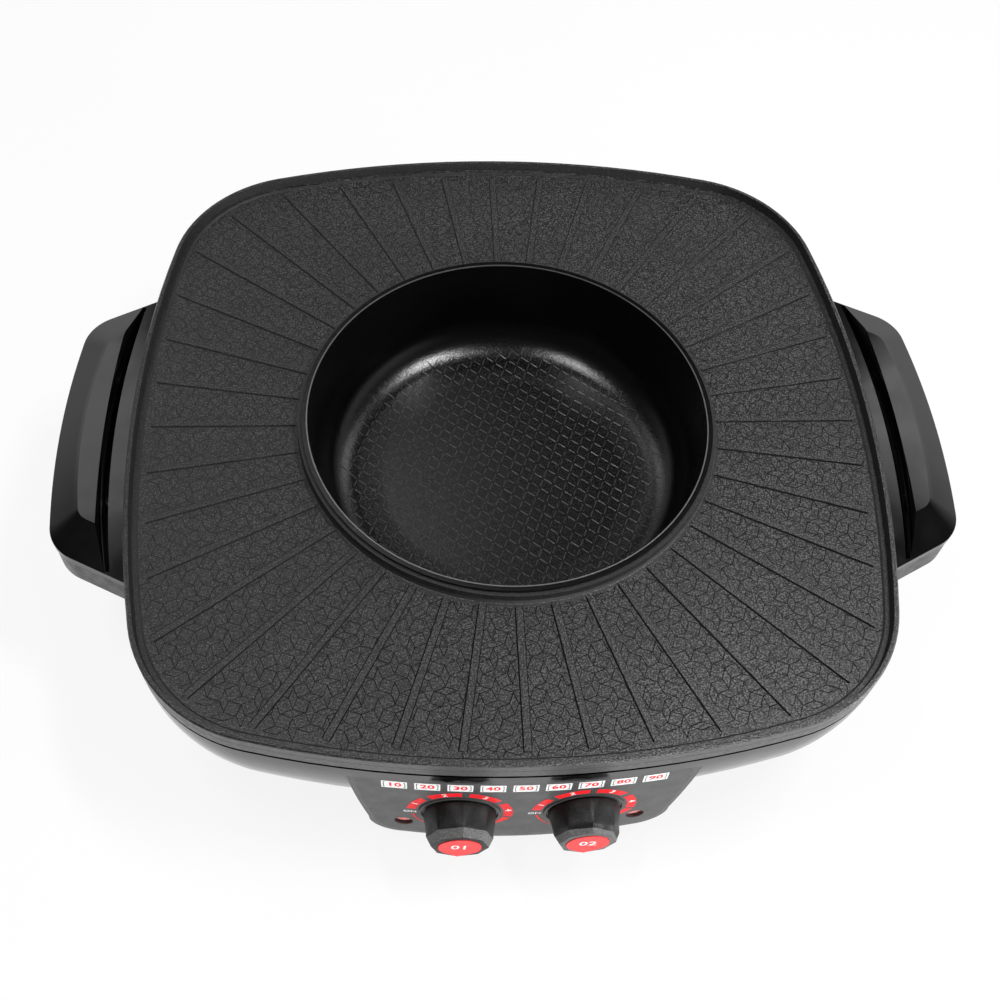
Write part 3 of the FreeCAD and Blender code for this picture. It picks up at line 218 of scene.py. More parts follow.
# ------------------------------------------------------------------ mesh helpers
class Form:
    """Points and faces gathered for one mesh."""

    def __init__(self):
        self.points = []
        self.faces = []

    def band(self, rows):
        """Skin round rows of points, with both ends capped."""
        start = len(self.points)
        width = len(rows[0])
        last = start + (len(rows) - 1) * width
        for row in rows:
            self.points.extend(row)
        for here in range(start, last, width):
            there = here + width
            for side in range(width):
                after = (side + 1) % width
                self.faces.append((here + side, there + side, there + after, here + after))
        self.faces.append(tuple(range(start, start + width)))
        self.faces.append(tuple(last + side for side in reversed(range(width))))

    def ridge(self, start, end, level, half_width, height):
        """Low straight ridge of triangular section; level gives the height under a point."""
        ahead = end - start
        side = Vector((-ahead.y, ahead.x)).normalized() * half_width
        rows = [[(*(point - side), level(point)), (*point, level(point) + height),
                 (*(point + side), level(point))] for point in (start, end)]
        self.band(rows)

    def patch(self, lower, upper, place, depth):
        """Thin solid between two lines of points in a plane, laid where place puts them."""
        rows = []
        for first, second in zip(lower, upper):
            rows.append([place(*first, 0.0), place(*first, depth), place(*second, depth),
                         place(*second, 0.0)])
        self.band(rows)

    def words(self, text, style, middle, place, turn, depth):
        """Flat characters, laid where place puts their plane."""
        height, widen, bold = style
        curve = bpy.data.curves.new("words", "FONT")
        curve.body = text
        curve.align_x = "CENTER"
        curve.align_y = "CENTER"
        curve.size = height / capital_share
        curve.resolution_u = 2
        curve.offset = bold
        curve.extrude = depth / 2
        holder = bpy.data.objects.new("words", curve)
        bpy.context.scene.collection.objects.link(holder)
        bpy.context.view_layer.update()
        mesh = bpy.data.meshes.new_from_object(holder)
        bpy.data.objects.remove(holder)
        start = len(self.points)
        across = Vector((math.cos(turn), math.sin(turn)))
        upward = Vector((-across.y, across.x))
        for vertex in mesh.vertices:
            x, y, z = vertex.co
            spot = Vector(middle) + across * x * widen + upward * y
            self.points.append(place(spot.x, spot.y, z + depth / 2))
        for face in mesh.polygons:
            self.faces.append(tuple(start + index for index in face.vertices))
        bpy.data.meshes.remove(mesh)

    def piece(self, name, body, slot, look):
        """The gathered mesh as a piece that rides on a body."""
        mesh = bpy.data.meshes.new(name)
        mesh.from_pydata([tuple(point) for point in self.points], [], self.faces)
        mesh.materials.append(materials[look])
        mesh.update()
        piece = bpy.data.objects.new(name, mesh)
        bpy.context.scene.collection.objects.link(piece)
        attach(piece, body)
        return piece


def on_plate(point, inset):
    """Whether a point lies within the plate's outline, moved inwards."""
    x, y = abs(point.x), abs(point.y)
    side_middle = plate_half_x - side_bow
    end_middle = plate_half_y - end_bow
    if math.hypot(x - side_middle, y) > side_bow - inset:
        return False
    if math.hypot(x, y - end_middle) > end_bow - inset:
        return False
    side_leg = side_bow - corner_radius
    end_leg = end_bow - corner_radius
    span = math.hypot(side_middle, end_middle)
    along = (side_leg ** 2 - end_leg ** 2 + span ** 2) / (2 * span)
    across = math.sqrt(side_leg ** 2 - along ** 2)
    unit = Vector((-side_middle, end_middle)) / span
    corner = Vector((side_middle, 0)) + unit * along + Vector((-unit.y, unit.x)) * across
    if y * (corner.x - side_middle) < corner.y * (x - side_middle):
        return True
    if (y - end_middle) * corner.x > (corner.y - end_middle) * x:
        return True
    return math.hypot(x - corner.x, y - corner.y) < corner_radius - inset


def plate_level(point):
    """Height of the cooking surface, the same under every point."""
    return cooking_floor


def dial_frame(side):
    """A dial's place on the panel, its outward direction and the direction across it."""
    joint = joints["knob_%s_turn" % side]
    outward = -Vector(joint["axis"]).normalized()
    return Vector(joint["pos_m"]), outward, Vector((-outward.y, outward.x, 0))


# ------------------------------------------------------------------ node helpers
def new_material(name):
    """Empty node material: its tree, its shader and its object coordinates."""
    material = bpy.data.materials.new(name)
    material.use_nodes = True
    tree = material.node_tree
    shader = tree.nodes["Principled BSDF"]
    place = tree.nodes.new("ShaderNodeTexCoord").outputs["Object"]
    return material, tree, shader, place


def noise(tree, place, size, detail=2.0, stretch=None):
    """Noise value with cells of about one size; stretch scales each axis."""
    if stretch:
        mapping = tree.nodes.new("ShaderNodeMapping")
        mapping.inputs["Scale"].default_value = stretch
        tree.links.new(place, mapping.inputs["Vector"])
        place = mapping.outputs[0]
    node = tree.nodes.new("ShaderNodeTexNoise")
    node.inputs["Scale"].default_value = 1 / size
    node.inputs["Detail"].default_value = detail
    tree.links.new(place, node.inputs["Vector"])
    return node.outputs[0]


def spread(tree, value, low, high, start=0.32, end=0.68):
    """A value stretched to a new range; the usual start and end are those of a noise value."""
    node = tree.nodes.new("ShaderNodeMapRange")
    node.inputs["From Min"].default_value = start
    node.inputs["From Max"].default_value = end
    node.inputs["To Min"].default_value = low
    node.inputs["To Max"].default_value = high
    tree.links.new(value, node.inputs["Value"])
    return node.outputs[0]


def blend(tree, share, first, second):
    """Colour between two colours or colour outputs."""
    node = tree.nodes.new("ShaderNodeMix")
    node.data_type = "RGBA"
    tree.links.new(share, node.inputs[0])
    for socket, colour in ((6, first), (7, second)):
        if isinstance(colour, tuple):
            node.inputs[socket].default_value = (*colour, 1)
        else:
            tree.links.new(colour, node.inputs[socket])
    return node.outputs[2]


def combine(tree, kind, first, second):
    """Result of one piece of arithmetic with two values or outputs."""
    node = tree.nodes.new("ShaderNodeMath")
    node.operation = kind
    for socket, value in enumerate((first, second)):
        if isinstance(value, float):
            node.inputs[socket].default_value = value
        else:
            tree.links.new(value, node.inputs[socket])
    return node.outputs[0]


def times(tree, first, second):
    """Product of two values or outputs."""
    return combine(tree, "MULTIPLY", first, second)


def larger(tree, first, second):
    """The larger of two values or outputs."""
    return combine(tree, "MAXIMUM", first, second)


def above(tree, value, limit):
    """1 where a value is over a limit, else 0."""
    return combine(tree, "GREATER_THAN", value, limit)


def below(tree, value, limit):
    """1 where a value is under a limit, else 0."""
    return combine(tree, "LESS_THAN", value, limit)


def between(tree, value, low, high):
    """1 where a value lies between two limits, else 0."""
    return times(tree, above(tree, value, low), below(tree, value, high))


def split_place(tree, place):
    """The X, Y and Z of a place or a direction."""
    node = tree.nodes.new("ShaderNodeSeparateXYZ")
    tree.links.new(place, node.inputs[0])
    return node.outputs


def from_axis(tree, place):
    """Distance from the Z axis."""
    flatten = tree.nodes.new("ShaderNodeMapping")
    flatten.inputs["Scale"].default_value = (1, 1, 0)
    tree.links.new(place, flatten.inputs["Vector"])
    length = tree.nodes.new("ShaderNodeVectorMath")
    length.operation = "LENGTH"
    tree.links.new(flatten.outputs[0], length.inputs[0])
    return length.outputs["Value"]


def towards(tree, place, direction):
    """How far a place or a normal reaches along a direction."""
    dot = tree.nodes.new("ShaderNodeVectorMath")
    dot.operation = "DOT_PRODUCT"
    tree.links.new(place, dot.inputs[0])
    if isinstance(direction, tuple):
        dot.inputs[1].default_value = direction
    else:
        tree.links.new(direction, dot.inputs[1])
    return dot.outputs["Value"]


def relief(tree, shader, value, height):
    """Bump of a height from a value between 0 and 1."""
    node = tree.nodes.new("ShaderNodeBump")
    node.inputs["Distance"].default_value = height
    tree.links.new(value, node.inputs["Height"])
    tree.links.new(node.outputs[0], shader.inputs["Normal"])


def finish_material(tree, shader, colour, rough, specular):
    """Joins colour and roughness to the shader and sets its specular level."""
    tree.links.new(colour, shader.inputs["Base Color"])
    tree.links.new(rough, shader.inputs["Roughness"])
    shader.inputs["Specular IOR Level"].default_value = specular


def grey(value, warmth=0.0):
    """Nearly neutral colour."""
    return (value * (1 + warmth), value, value * (1 - warmth))


# ------------------------------------------------------------------ materials
def surface(name, tones, tone_size, gloss, gloss_size, bump, bump_size, constants, stretch=None):
    """Mottled colour between two tones, uneven roughness between two values, and fine relief."""
    material, tree, shader, place = new_material(name)
    mottle = spread(tree, noise(tree, place, tone_size * MM, 3.0, stretch), 0.0, 1.0)
    colour = blend(tree, mottle, *tones)
    tree.links.new(colour, shader.inputs["Base Color"])
    rough = spread(tree, noise(tree, place, gloss_size * MM, 2.0, stretch), *gloss)
    tree.links.new(rough, shader.inputs["Roughness"])
    relief(tree, shader, noise(tree, place, bump_size * MM, 2.0, stretch), bump * MM)
    for socket, value in constants.items():
        shader.inputs[socket].default_value = value
    return material


def plate_shade(tree, place, parts):
    """Where shade is painted on the plate: bar sides, inner walls, collar and side ledges."""
    height = parts["Z"]
    facing = towards(tree, place.node.outputs["Normal"], place)
    low, high = (cooking_floor + level for level in bar_side_span)
    # painted shade on the bar sides, fading towards the back and left
    side_shade_fade = spread(tree, towards(tree, place, back_way), 1.0, 0.5, *back_fade)
    sides = times(tree, between(tree, height, low, high), side_shade_fade)
    inward = below(tree, facing, inner_facing)
    raised = times(tree, above(tree, height, cooking_floor + wall_start), 0.85)
    near = below(tree, from_axis(tree, place), collar_foot + collar_margin)
    collar = times(tree, raised, near)
    aside = combine(tree, "ABSOLUTE", parts["X"], 0.0)
    low, high = (cooking_floor + level for level in ledge_span)
    ledge = times(tree, spread(tree, aside, 0.0, 0.75, *ledge_fade),
                  between(tree, height, low, high))
    dark = larger(tree, larger(tree, sides, inward), collar)
    return larger(tree, dark, ledge)


def make_plate_coating():
    """Charcoal non-stick coating: coarse grain, a finer skirt, painted glints, painted shade towards the left, and
    painted shade on sides and walls.
    """
    material, tree, shader, place = new_material("plate_coating")
    parts = split_place(tree, place)
    grain = spread(tree, noise(tree, place, 0.9 * MM), 0.0, 1.0, 0.5, 0.6)
    colour = blend(tree, grain, grey(0.002), grey(0.102))
    patches = spread(tree, noise(tree, place, 55 * MM), 0.0, 0.4)
    colour = blend(tree, patches, colour, grey(0.018))
    # painted shade: the plate darkens towards the left
    left = spread(tree, towards(tree, place, left_way), 0.0, 0.68, *left_fade)
    colour = blend(tree, left, colour, grey(0.005))
    # painted glints: small bright spots standing in for sparkle in the light
    painted_glints = spread(tree, noise(tree, place, 0.7 * MM, 0.0), 0.0, 0.3, 0.66, 0.82)
    colour = blend(tree, painted_glints, colour, grey(0.3))
    facing = towards(tree, place.node.outputs["Normal"], place)
    skirt = times(tree, above(tree, facing, outer_facing),
                  below(tree, parts["Z"], rim_top - skirt_drop))
    finer = spread(tree, noise(tree, place, 1.2 * MM, 3.0, (1, 1, 5)), 0.0, 1.0)
    colour = blend(tree, times(tree, skirt, 0.8), colour,
                   blend(tree, finer, grey(0.04), grey(0.075)))
    # painted shade on bar sides, inner walls, collar and side ledges, which are also made rougher
    dark = plate_shade(tree, place, parts)
    colour = blend(tree, times(tree, dark, 0.85), colour, grey(0.003))
    rough = spread(tree, noise(tree, place, 3 * MM, 3.0), 0.28, 0.4)
    rough = combine(tree, "ADD", rough, times(tree, dark, 0.2))
    relief(tree, shader, noise(tree, place, 0.9 * MM), 0.25 * MM)
    finish_material(tree, shader, colour, rough, 0.45)
    return material


def make_emboss_line():
    """Embossed lines, painted dark for the shade a groove would hold, and painted paler towards the back and the
    left, where the light shows them less.
    """
    material, tree, shader, place = new_material("emboss_line")
    mottle = spread(tree, noise(tree, place, 0.7 * MM, 3.0), 0.0, 1.0)
    colour = blend(tree, mottle, grey(0.003), grey(0.014))
    # painted light: the lines grow paler towards the back and left
    wear_and_painted_fade = spread(tree, towards(tree, place, back_way), 0.0, 0.8, *back_fade)
    colour = blend(tree, wear_and_painted_fade, colour, grey(0.03))
    rough = spread(tree, noise(tree, place, 2 * MM), 0.6, 0.75)
    relief(tree, shader, noise(tree, place, 0.5 * MM), 0.04 * MM)
    finish_material(tree, shader, colour, rough, 0.05)
    return material


def make_pot_coating():
    """Satin near-black coating with a bare metal edge round the mouth."""
    material, tree, shader, place = new_material("pot_coating")
    height = split_place(tree, place)["Z"]
    grain = spread(tree, noise(tree, place, 0.8 * MM, 3.0), 0.0, 1.0, 0.5, 0.64)
    low, high = (pot_floor + level for level in pot_fade)
    grain = times(tree, grain, spread(tree, height, 1.0, 0.05, low, high))
    colour = blend(tree, grain, grey(0.0005), grey(0.026))
    bare = times(tree, below(tree, from_axis(tree, place), bare_reach),
                 above(tree, height, lip_top - bare_height))
    colour = blend(tree, bare, colour, grey(0.26, 0.01))
    tree.links.new(bare, shader.inputs["Metallic"])
    rough = spread(tree, noise(tree, place, 2.5 * MM), 0.18, 0.23)
    rough = combine(tree, "ADD", rough, times(tree, bare, 0.15))
    relief(tree, shader, noise(tree, place, 0.9 * MM), 0.1 * MM)
    finish_material(tree, shader, colour, rough, 0.5)
    return material


def make_dial_plastic():
    """Grained near-black plastic, painted a paler grey on the chamfered nose as a painted highlight."""
    material, tree, shader, place = new_material("dial_plastic")
    grain = spread(tree, noise(tree, place, 0.7 * MM, 3.0), 0.0, 1.0, 0.4, 0.68)
    colour = blend(tree, grain, grey(0.003), grey(0.013))
    middle, outward, _ = dial_frame("left")
    low, high = (outward.dot(middle) + lift for lift in nose_span)
    # painted highlight: the chamfered nose is painted paler, as where it catches the light
    nose = between(tree, towards(tree, place, tuple(outward)), low, high)
    colour = blend(tree, nose, colour, blend(tree, grain, grey(0.075), grey(0.145)))
    rough = spread(tree, noise(tree, place, 4 * MM), 0.38, 0.5)
    relief(tree, shader, noise(tree, place, 0.7 * MM), 0.08 * MM)
    finish_material(tree, shader, colour, rough, 0.3)
    return material


def make_element_tube():
    """Sheathed heating tube: dull steel with bluish and straw heat tints."""
    material, tree, shader, place = new_material("element_tube")
    tint = spread(tree, noise(tree, place, 45 * MM, 1.0), 0.0, 1.0)
    colour = blend(tree, tint, (0.16, 0.17, 0.2), (0.3, 0.25, 0.19))
    soot = spread(tree, noise(tree, place, 3 * MM, 3.0), 0.0, 0.5)
    colour = blend(tree, soot, colour, grey(0.1))
    rough = spread(tree, noise(tree, place, 6 * MM), 0.35, 0.6)
    relief(tree, shader, noise(tree, place, 0.8 * MM), 0.03 * MM)
    finish_material(tree, shader, colour, rough, 0.5)
    shader.inputs["Metallic"].default_value = 1.0
    return material


# Each row holds two tones and their size, two roughness values and their size, the relief's
# height and size, what else is set on the shader, and any stretch. Sizes are in millimetres.
metal = {"Metallic": 1.0}
plain_surfaces = {
    "black_moulding": ((grey(0.0015), grey(0.0035)), 14, (0.09, 0.17), 20, 0.004, 5, {}),
    "pod_moulding": ((grey(0.02), grey(0.035)), 0.8, (0.2, 0.3), 9, 0.02, 0.7, {}),
    "cover_moulding": ((grey(0.010), grey(0.018)), 0.8, (0.3, 0.45), 6, 0.04, 0.7, {}),
    "panel_film": ((grey(0.045), grey(0.07)), 0.7, (0.42, 0.52), 9, 0.015, 0.6, {}),
    "cap_red": (((0.84, 0.05, 0.052), (0.9, 0.07, 0.07)), 1.6, (0.42, 0.52), 3, 0.02, 1.0,
                {"Specular IOR Level": 0.15}),
    "lens_red": (((0.9, 0.25, 0.24), (0.95, 0.4, 0.38)), 1.4, (0.1, 0.2), 3, 0.03, 0.9, {}),
    "lamp_glass": (((0.8, 0.55, 0.4), (0.9, 0.75, 0.6)), 2, (0.04, 0.12), 3, 0.01, 1.5,
                   {"Transmission Weight": 0.6}),
    "rubber": ((grey(0.012), grey(0.035)), 0.9, (0.6, 0.8), 4, 0.08, 0.6, {}),
    "screw_steel": ((grey(0.42), grey(0.6)), 1.0, (0.22, 0.4), 1.5, 0.02, 0.4, metal),
    "sheet_steel": ((grey(0.45, 0.02), grey(0.62)), 6, (0.26, 0.42), 4, 0.02, 0.8, metal,
                    (1, 9, 1)),
    "cast_aluminium": ((grey(0.4), grey(0.58)), 1.6, (0.45, 0.62), 4, 0.09, 0.8, metal),
    "ceramic": (((0.72, 0.7, 0.64), (0.86, 0.84, 0.79)), 2.5, (0.35, 0.55), 4, 0.05, 0.7, {}),
    "pin_brass": (((0.6, 0.43, 0.16), (0.76, 0.58, 0.27)), 2, (0.2, 0.34), 2, 0.015, 0.5, metal),
    "dash_line": ((grey(0.004), grey(0.06)), 0.9, (0.26, 0.34), 2, 0.05, 0.6, {}),
    "print_white": ((grey(0.8), grey(0.88)), 0.8, (0.35, 0.5), 2, 0.01, 0.4,
                    {"Specular IOR Level": 0.2}),
    "print_red": (((0.78, 0.012, 0.018), (0.88, 0.03, 0.035)), 0.8, (0.35, 0.5), 2, 0.01, 0.4,
                  {"Specular IOR Level": 0.12}),
    "print_dark": ((grey(0.015), grey(0.03)), 0.8, (0.4, 0.5), 2, 0.01, 0.4, {}),
}
materials = {name: surface(name, *row) for name, row in plain_surfaces.items()}
materials["plate_coating"] = make_plate_coating()
materials["emboss_line"] = make_emboss_line()
materials["pot_coating"] = make_pot_coating()
materials["dial_plastic"] = make_dial_plastic()
materials["element_tube"] = make_element_tube()


def dress_nodes():
    """Gives each CAD node the material of its record slot, and the pod its own satin one."""
    for row in frame["record"]["subparts"]:
        for slot in nodes[row["node"]].material_slots:
            slot.material = materials[row["material_slot"]]
    for slot in nodes["control_pod"].material_slots:
        slot.material = materials["pod_moulding"]


# ------------------------------------------------------------------ embossed patterns
def make_plate_pattern():
    """Thin diamond outlines on a square lattice, turned by a quarter from one to the next."""
    form = Form()
    chance = random.Random(diamond_seed)
    turned = Matrix.Rotation(diamond_turn, 2)
    reach = int(plate_half_x / diamond_pitch[0]) + diamond_margin
    for column in range(-reach, reach):
        for row in range(-reach, reach):
            middle = turned @ Vector((diamond_start[0] + column * diamond_pitch[0],
                                      diamond_start[1] + row * diamond_pitch[1]))
            if middle.length < collar_foot or not on_plate(middle, surface_inset):
                continue
            long_side = turned @ Vector((0, diamond_half_length))
            short_side = turned @ Vector((diamond_half_width, 0))
            if (column + row) % 2:
                long_side, short_side = long_side.orthogonal(), short_side.orthogonal()
            corners = [middle + long_side, middle + short_side, middle - long_side,
                       middle - short_side]
            for index in range(4):
                wear_and_painted_fade = chance.uniform(*diamond_wear)
                form.ridge(corners[index], corners[index - 1], plate_level,
                           diamond_line_half * wear_and_painted_fade, diamond_line_height * wear_and_painted_fade)
    form.piece("plate_diamond_pattern", "base", "plate_coating", "emboss_line")


def make_bar_foot_shadows():
    """Painted shadows: thin dark beads along the foot of each bar, stronger on its left, away from the light."""
    form = Form()
    for index in range(bar_count):
        turn = 2 * math.pi * index / bar_count
        ahead = Vector((math.cos(turn), math.sin(turn)))
        aside = Vector((-ahead.y, ahead.x))
        end = bar_start
        while on_plate(ahead * end, bar_end_inset):
            end += bar_end_step
        for side in (-1, 1):
            half_width = shadow_left_half if side * aside.x < 0 else shadow_right_half
            offset = aside * side * (bar_half_width + half_width * shadow_offset)
            # painted shadow along the bar's foot
            form.ridge(ahead * bar_start + offset, ahead * (end - bar_end_step) + offset,
                       plate_level, half_width, shadow_height)
    form.piece("plate_bar_foot_shadows", "base", "plate_coating", "emboss_line")


def lining_profile():
    """Radius and height of the pot's coated inside: flat, a slight rise, then one wide corner."""
    rise = math.radians(lining_rise)
    lean = (mouth_reach - wall_foot_reach) / (lip_top - pot_floor - pot_corner)
    upright = math.pi / 2 - math.atan(lean)
    start = (rise_reach - flat_reach) * math.tan(rise) + lining_lift
    across = math.sin(upright) - math.sin(rise)
    upward = math.cos(rise) - math.cos(upright)
    radius = ((wall_foot_reach - rise_reach + lean * (start - pot_corner))
              / (across - lean * upward))
    profile = [(flat_reach, lining_lift),
               (flat_reach + rise_ease[0], lining_lift + rise_ease[1])]
    for index in range(corner_steps + 1):
        angle = rise + (upright - rise) * index / corner_steps
        profile.append((rise_reach + radius * (math.sin(angle) - math.sin(rise)),
                        start + radius * (math.cos(rise) - math.cos(angle))))
    return profile


def pot_level(point):
    """Height of the pot's coated inside under a point."""
    reached = point.length
    profile = lining_profile()
    for inner, outer in zip(profile, profile[1:]):
        if inner[0] <= reached <= outer[0]:
            share = (reached - inner[0]) / (outer[0] - inner[0])
            return pot_floor + inner[1] + (outer[1] - inner[1]) * share
    return pot_floor + lining_lift


def make_pot_lining():
    """Coated inside of the pot, a skin that thickens in the corner and ends in the wall."""
    profile = lining_profile()
    end = profile[-1]
    profile += [(end[0] + lining_edge[0], end[1] + lining_edge[1]),
                (end[0] + wall_sink, end[1]),
                (wall_foot_reach + wall_sink, pot_corner),
                (wall_foot_reach - corner_middle[0], corner_middle[1]),
                (wall_foot_reach - pot_corner, -lining_sink),
                (flat_reach, -lining_sink)]
    rows = []
    for reached, level in profile:
        rows.append([Vector((reached * math.cos(math.radians(turn)),
                             reached * math.sin(math.radians(turn)), pot_floor + level))
                     for turn in lining_turns])
    form = Form()
    form.band(rows)
    lining = form.piece("pot_lining", "pot", "pot_coating", "pot_coating")
    lining.data.shade_smooth()
    lining.data.set_sharp_from_angle(angle=lining_crease)


def make_pot_pattern():
    """Short raised dashes along the lines of a slanted lattice on the pot's floor."""
    form = Form()
    chance = random.Random(dash_seed)
    steps = [Vector((math.cos(math.radians(turn)), math.sin(math.radians(turn)))) * spacing
             for spacing, turn in dash_rows]
    reach = int(dash_reach / steps[0].length * dash_margin) + 1
    for first in range(-reach, reach):
        for second in range(-reach, reach):
            corner = dash_start + steps[0] * first + steps[1] * second
            for step in steps:
                middle = corner + step / 2
                if middle.length > dash_reach:
                    continue
                wear_and_painted_fade = chance.uniform(*dash_wear)
                half = step.normalized() * dash_half_length * (dash_even + (1 - dash_even) * wear_and_painted_fade)
                form.ridge(middle - half, middle + half, pot_level, dash_line_half * wear_and_painted_fade,
                           dash_line_height * wear_and_painted_fade)
    form.piece("pot_dash_pattern", "pot", "pot_coating", "dash_line")


# ------------------------------------------------------------------ printed panel
def on_panel(x, height, lift):
    """Place on the pod's bowed face from the distance across, the height and the lift off it."""
    return Vector((x, pod_face + pod_bow - math.sqrt((pod_bow + lift) ** 2 - x ** 2), height))


def line_points(start, end, steps):
    """Evenly spaced points of a straight line in the panel's plane."""
    return [Vector(start).lerp(Vector(end), index / steps) for index in range(steps + 1)]


def arc_points(middle, span, steps, radius, taper=0.0):
    """Points of an arc in the panel's plane, its angles in degrees, that may close inwards."""
    points = []
    for index in range(steps + 1):
        angle = math.radians(span[0] + (span[1] - span[0]) * index / steps)
        reached = radius - taper * index / steps
        points.append(Vector((middle[0] + reached * math.cos(angle),
                              middle[1] + reached * math.sin(angle))))
    return points


def make_labels():
    """Row of white labels with thin brackets and plain red numbers."""
    plates, brackets, numbers = Form(), Form(), Form()
    height = rim_top - label_drop
    foot, head = height - label_half_height, height + label_half_height
    low, high = height - bracket_half_height, height + bracket_half_height
    for index in range(label_count):
        x = (index - label_count // 2) * label_pitch
        left, right = x - label_half_width, x + label_half_width
        plates.patch(line_points((left, foot), (right, foot), label_steps),
                     line_points((left, head), (right, head), label_steps), on_panel,
                     print_height)
        for side in (-1, 1):
            outer = x + side * bracket_reach
            inner = outer - side * bracket_line
            tip = outer - side * bracket_turn
            brackets.patch([(inner, low), (inner, high)], [(outer, low), (outer, high)],
                           on_panel, mark_height)
            for level in (low, high - bracket_line):
                brackets.patch([(tip, level), (inner, level)],
                               [(tip, level + bracket_line), (inner, level + bracket_line)],
                               on_panel, mark_height)
        numbers.words(str((index + 1) * 10), label_type, (x, height), on_panel, 0.0,
                      mark_height)
    plates.piece("panel_label_plates", "base", "panel_film", "print_white")
    brackets.piece("panel_label_brackets", "base", "panel_film", "print_dark")
    numbers.piece("panel_label_numbers", "base", "panel_film", "print_red")


def make_dial_print():
    """Red arcs with white numbers round each dial, a tapering red line below and an ON mark."""
    arcs, marks = Form(), Form()
    for side in ("left", "right"):
        pivot = joints["knob_%s_turn" % side]["pos_m"]
        middle = (pivot[0], pivot[2])
        for number, span in enumerate(arc_spans):
            arcs.patch(arc_points(middle, span, arc_steps, arc_inner),
                       arc_points(middle, span, arc_steps, arc_outer), on_panel, print_height)
            angle = math.radians((span[0] + span[1]) / 2)
            radius = (arc_inner + arc_outer) / 2
            spot = (middle[0] + radius * math.cos(angle), middle[1] + radius * math.sin(angle))
            marks.words(str(number + 1), arc_type, spot, on_panel, angle - math.pi / 2,
                        mark_height)
        arcs.patch(arc_points(middle, tail_span, tail_steps, arc_inner),
                   arc_points(middle, tail_span, tail_steps, arc_outer, tail_taper), on_panel,
                   print_height)
        arcs.patch(
            arc_points(middle, thin_span, arc_steps, thin_radius - thin_half, -thin_taper),
            arc_points(middle, thin_span, arc_steps, thin_radius + thin_half, thin_taper),
            on_panel, print_height)
        marks.words("ON", on_type, (middle[0] - on_left, middle[1] - on_drop), on_panel, 0.0,
                    print_height)
    arcs.piece("dial_arcs", "base", "panel_film", "print_red")
    marks.piece("dial_marks", "base", "panel_film", "print_white")


# ------------------------------------------------------------------ dials
def dial_radius(share, apothem, turn):
    """Radius of a dial's section: from round, at share 0, to eight soft facets, at share 1."""
    facet = math.degrees(turn) % facet_width - facet_width / 2
    sharp = 1 / math.cos(math.radians(facet)) - 1
    swell = math.radians(facet_count * (facet + facet_width / 2)) + math.pi
    soft = facet_swell * (1 - math.cos(swell))
    return apothem * (1 + share * (facet_sharp * sharp + (1 - facet_sharp) * soft))


def make_dial(side):
    """Dial with a round foot that turns into soft facets, a chamfered nose and a hollow."""
    start, outward, across = dial_frame(side)
    rows = []
    for apothem, lift, share in dial_profile:
        row = []
        for index in range(dial_steps):
            turn = 2 * math.pi * index / dial_steps
            radius = dial_radius(share, apothem * MM, turn)
            angle = turn + dial_rest
            row.append(start + outward * lift * MM + across * radius * math.cos(angle)
                       + Vector((0, 0, radius * math.sin(angle))))
        rows.append(row)
    form = Form()
    form.band(rows)
    dial = form.piece("dial_" + side, "knob_" + side, "dial_plastic", "dial_plastic")
    dial.data.shade_smooth()
    dial.data.set_sharp_from_angle(angle=dial_crease)
    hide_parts("knob_" + side)


def make_cap_mark(side, number):
    """Plain white number on a dial's cap."""
    start, outward, across = dial_frame(side)
    front = start + outward * cap_thickness

    def on_cap(x, height, lift):
        """Place on the cap's front from the distance across, the height and the lift off it."""
        return (front + across * x + Vector((0, 0, height))
                + outward * (lift - cap_mark_sink))

    form = Form()
    form.words(number, cap_type, (0.0, cap_mark_rise), on_cap, dial_rest, cap_mark_depth)
    form.piece("cap_mark_" + side, "knob_" + side, "cap_red", "print_white")


# ------------------------------------------------------------------ camera
def make_camera():
    """The main view: from high up in front, turned a little and slightly rolled."""
    target = camera_target + Vector((0, 0, rim_top))
    level = math.cos(camera_pitch)
    back = Vector((math.sin(camera_yaw) * level, -math.cos(camera_yaw) * level,
                   math.sin(camera_pitch)))
    right = (-back).cross(Vector((0, 0, 1))).normalized()
    up = right.cross(-back)
    x_axis = math.cos(camera_roll) * right + math.sin(camera_roll) * up
    y_axis = -math.sin(camera_roll) * right + math.cos(camera_roll) * up
    camera = bpy.data.cameras.new("camera")
    camera.sensor_width = sensor_width
    camera.lens = camera_lens * sensor_width
    camera.clip_start = 0.05
    camera.clip_end = 30.0
    holder = bpy.data.objects.new("camera", camera)
    holder.matrix_world = Matrix.Translation(target + back * camera_distance) @ Matrix(
        (x_axis, y_axis, back)).transposed().to_4x4()
    bpy.context.scene.collection.objects.link(holder)
    bpy.context.scene.camera = holder


# ------------------------------------------------------------------ world, floor and lamps
def white_share(tree, strength):
    """How much of the white backdrop a ray sees: all that come from the camera, metal or glass."""
    path = tree.nodes.new("ShaderNodeLightPath")
    seen = larger(tree, path.outputs["Is Camera Ray"], path.outputs["Is Glossy Ray"])
    seen = larger(tree, seen, path.outputs["Is Transmission Ray"])
    return times(tree, seen, strength)


def mix_shaders(tree, share, first, second, output):
    """Joins two shaders to an output by a share."""
    mix = tree.nodes.new("ShaderNodeMixShader")
    tree.links.new(share, mix.inputs[0])
    tree.links.new(first.outputs[0], mix.inputs[1])
    tree.links.new(second.outputs[0], mix.inputs[2])
    tree.links.new(mix.outputs[0], output.inputs[0])


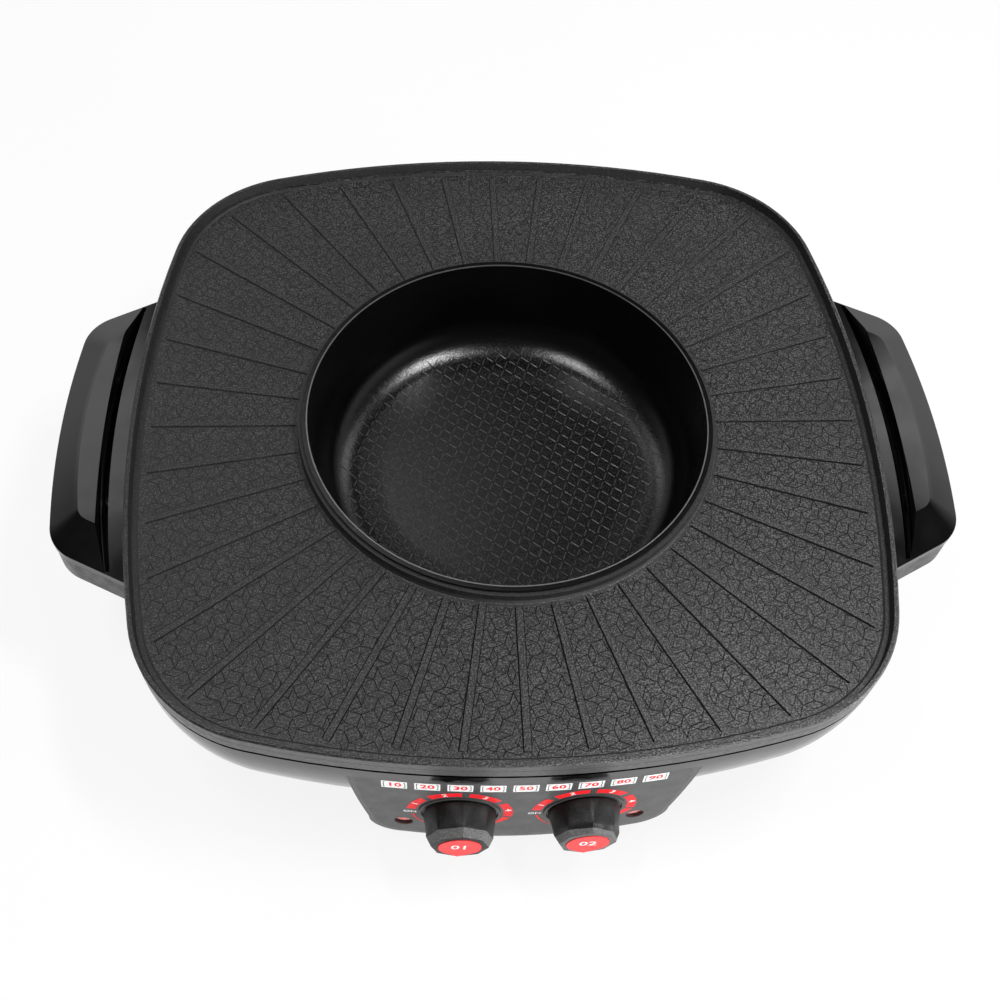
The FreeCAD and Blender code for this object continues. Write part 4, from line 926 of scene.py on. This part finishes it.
def make_world():
    """White backdrop that fades into a dark ceiling overhead, and an even light."""
    scene = bpy.context.scene
    scene.view_settings.view_transform = "Standard"
    world = bpy.data.worlds.new("studio")
    world.use_nodes = True
    scene.world = world
    tree = world.node_tree
    tree.nodes.clear()
    output = tree.nodes.new("ShaderNodeOutputWorld")
    seen = tree.nodes.new("ShaderNodeBackground")
    lit = tree.nodes.new("ShaderNodeBackground")
    lit.inputs["Color"].default_value = (1, 1, 1, 1)
    lit.inputs["Strength"].default_value = room_strength
    direction = tree.nodes.new("ShaderNodeTexCoord").outputs["Generated"]
    low = spread(tree, split_place(tree, direction)["Z"], 1.0, 0.0, *ceiling_fade)
    behind = spread(tree, towards(tree, direction, backdrop_way), 0.0, 1.0, *backdrop_fade)
    path = tree.nodes.new("ShaderNodeLightPath")
    backdrop = larger(tree, times(tree, low, behind), path.outputs["Is Camera Ray"])
    tree.links.new(blend(tree, backdrop, grey(ceiling_tone), grey(1.0)), seen.inputs["Color"])
    mix_shaders(tree, white_share(tree, 1.0), lit, seen, output)


def make_floor():
    """White floor that keeps the object's shadow."""
    bpy.ops.mesh.primitive_plane_add(size=floor_size, location=(0, 0, 0))
    floor = bpy.context.object
    floor.name = "floor"
    material = bpy.data.materials.new("floor_paper")
    material.use_nodes = True
    tree = material.node_tree
    tree.nodes.clear()
    output = tree.nodes.new("ShaderNodeOutputMaterial")
    paper = tree.nodes.new("ShaderNodeBsdfDiffuse")
    paper.inputs["Color"].default_value = (0.9, 0.9, 0.9, 1)
    glow = tree.nodes.new("ShaderNodeEmission")
    glow.inputs["Color"].default_value = (1, 1, 1, 1)
    mix_shaders(tree, white_share(tree, floor_white), paper, glow, output)
    floor.data.materials.append(material)


def make_lamps():
    """Soft rectangular lamps that face one point, each turned about its own line."""
    for name, place, size, power, turn in lamps:
        lamp = bpy.data.lights.new(name, "AREA")
        lamp.shape = "RECTANGLE"
        lamp.size, lamp.size_y = size
        lamp.energy = power
        holder = bpy.data.objects.new(name, lamp)
        holder.location = place
        facing = (Vector(lamp_aim) - Vector(place)).to_track_quat("-Z", "Y")
        facing = facing @ Quaternion((0, 0, 1), math.radians(turn))
        holder.rotation_euler = facing.to_euler()
        bpy.context.scene.collection.objects.link(holder)


make_camera()
make_world()
make_floor()
make_lamps()
dress_nodes()
make_plate_pattern()
make_bar_foot_shadows()
make_pot_lining()
make_pot_pattern()
make_labels()
make_dial_print()
make_dial("left")
make_dial("right")
make_cap_mark("left", "01")
make_cap_mark("right", "02")
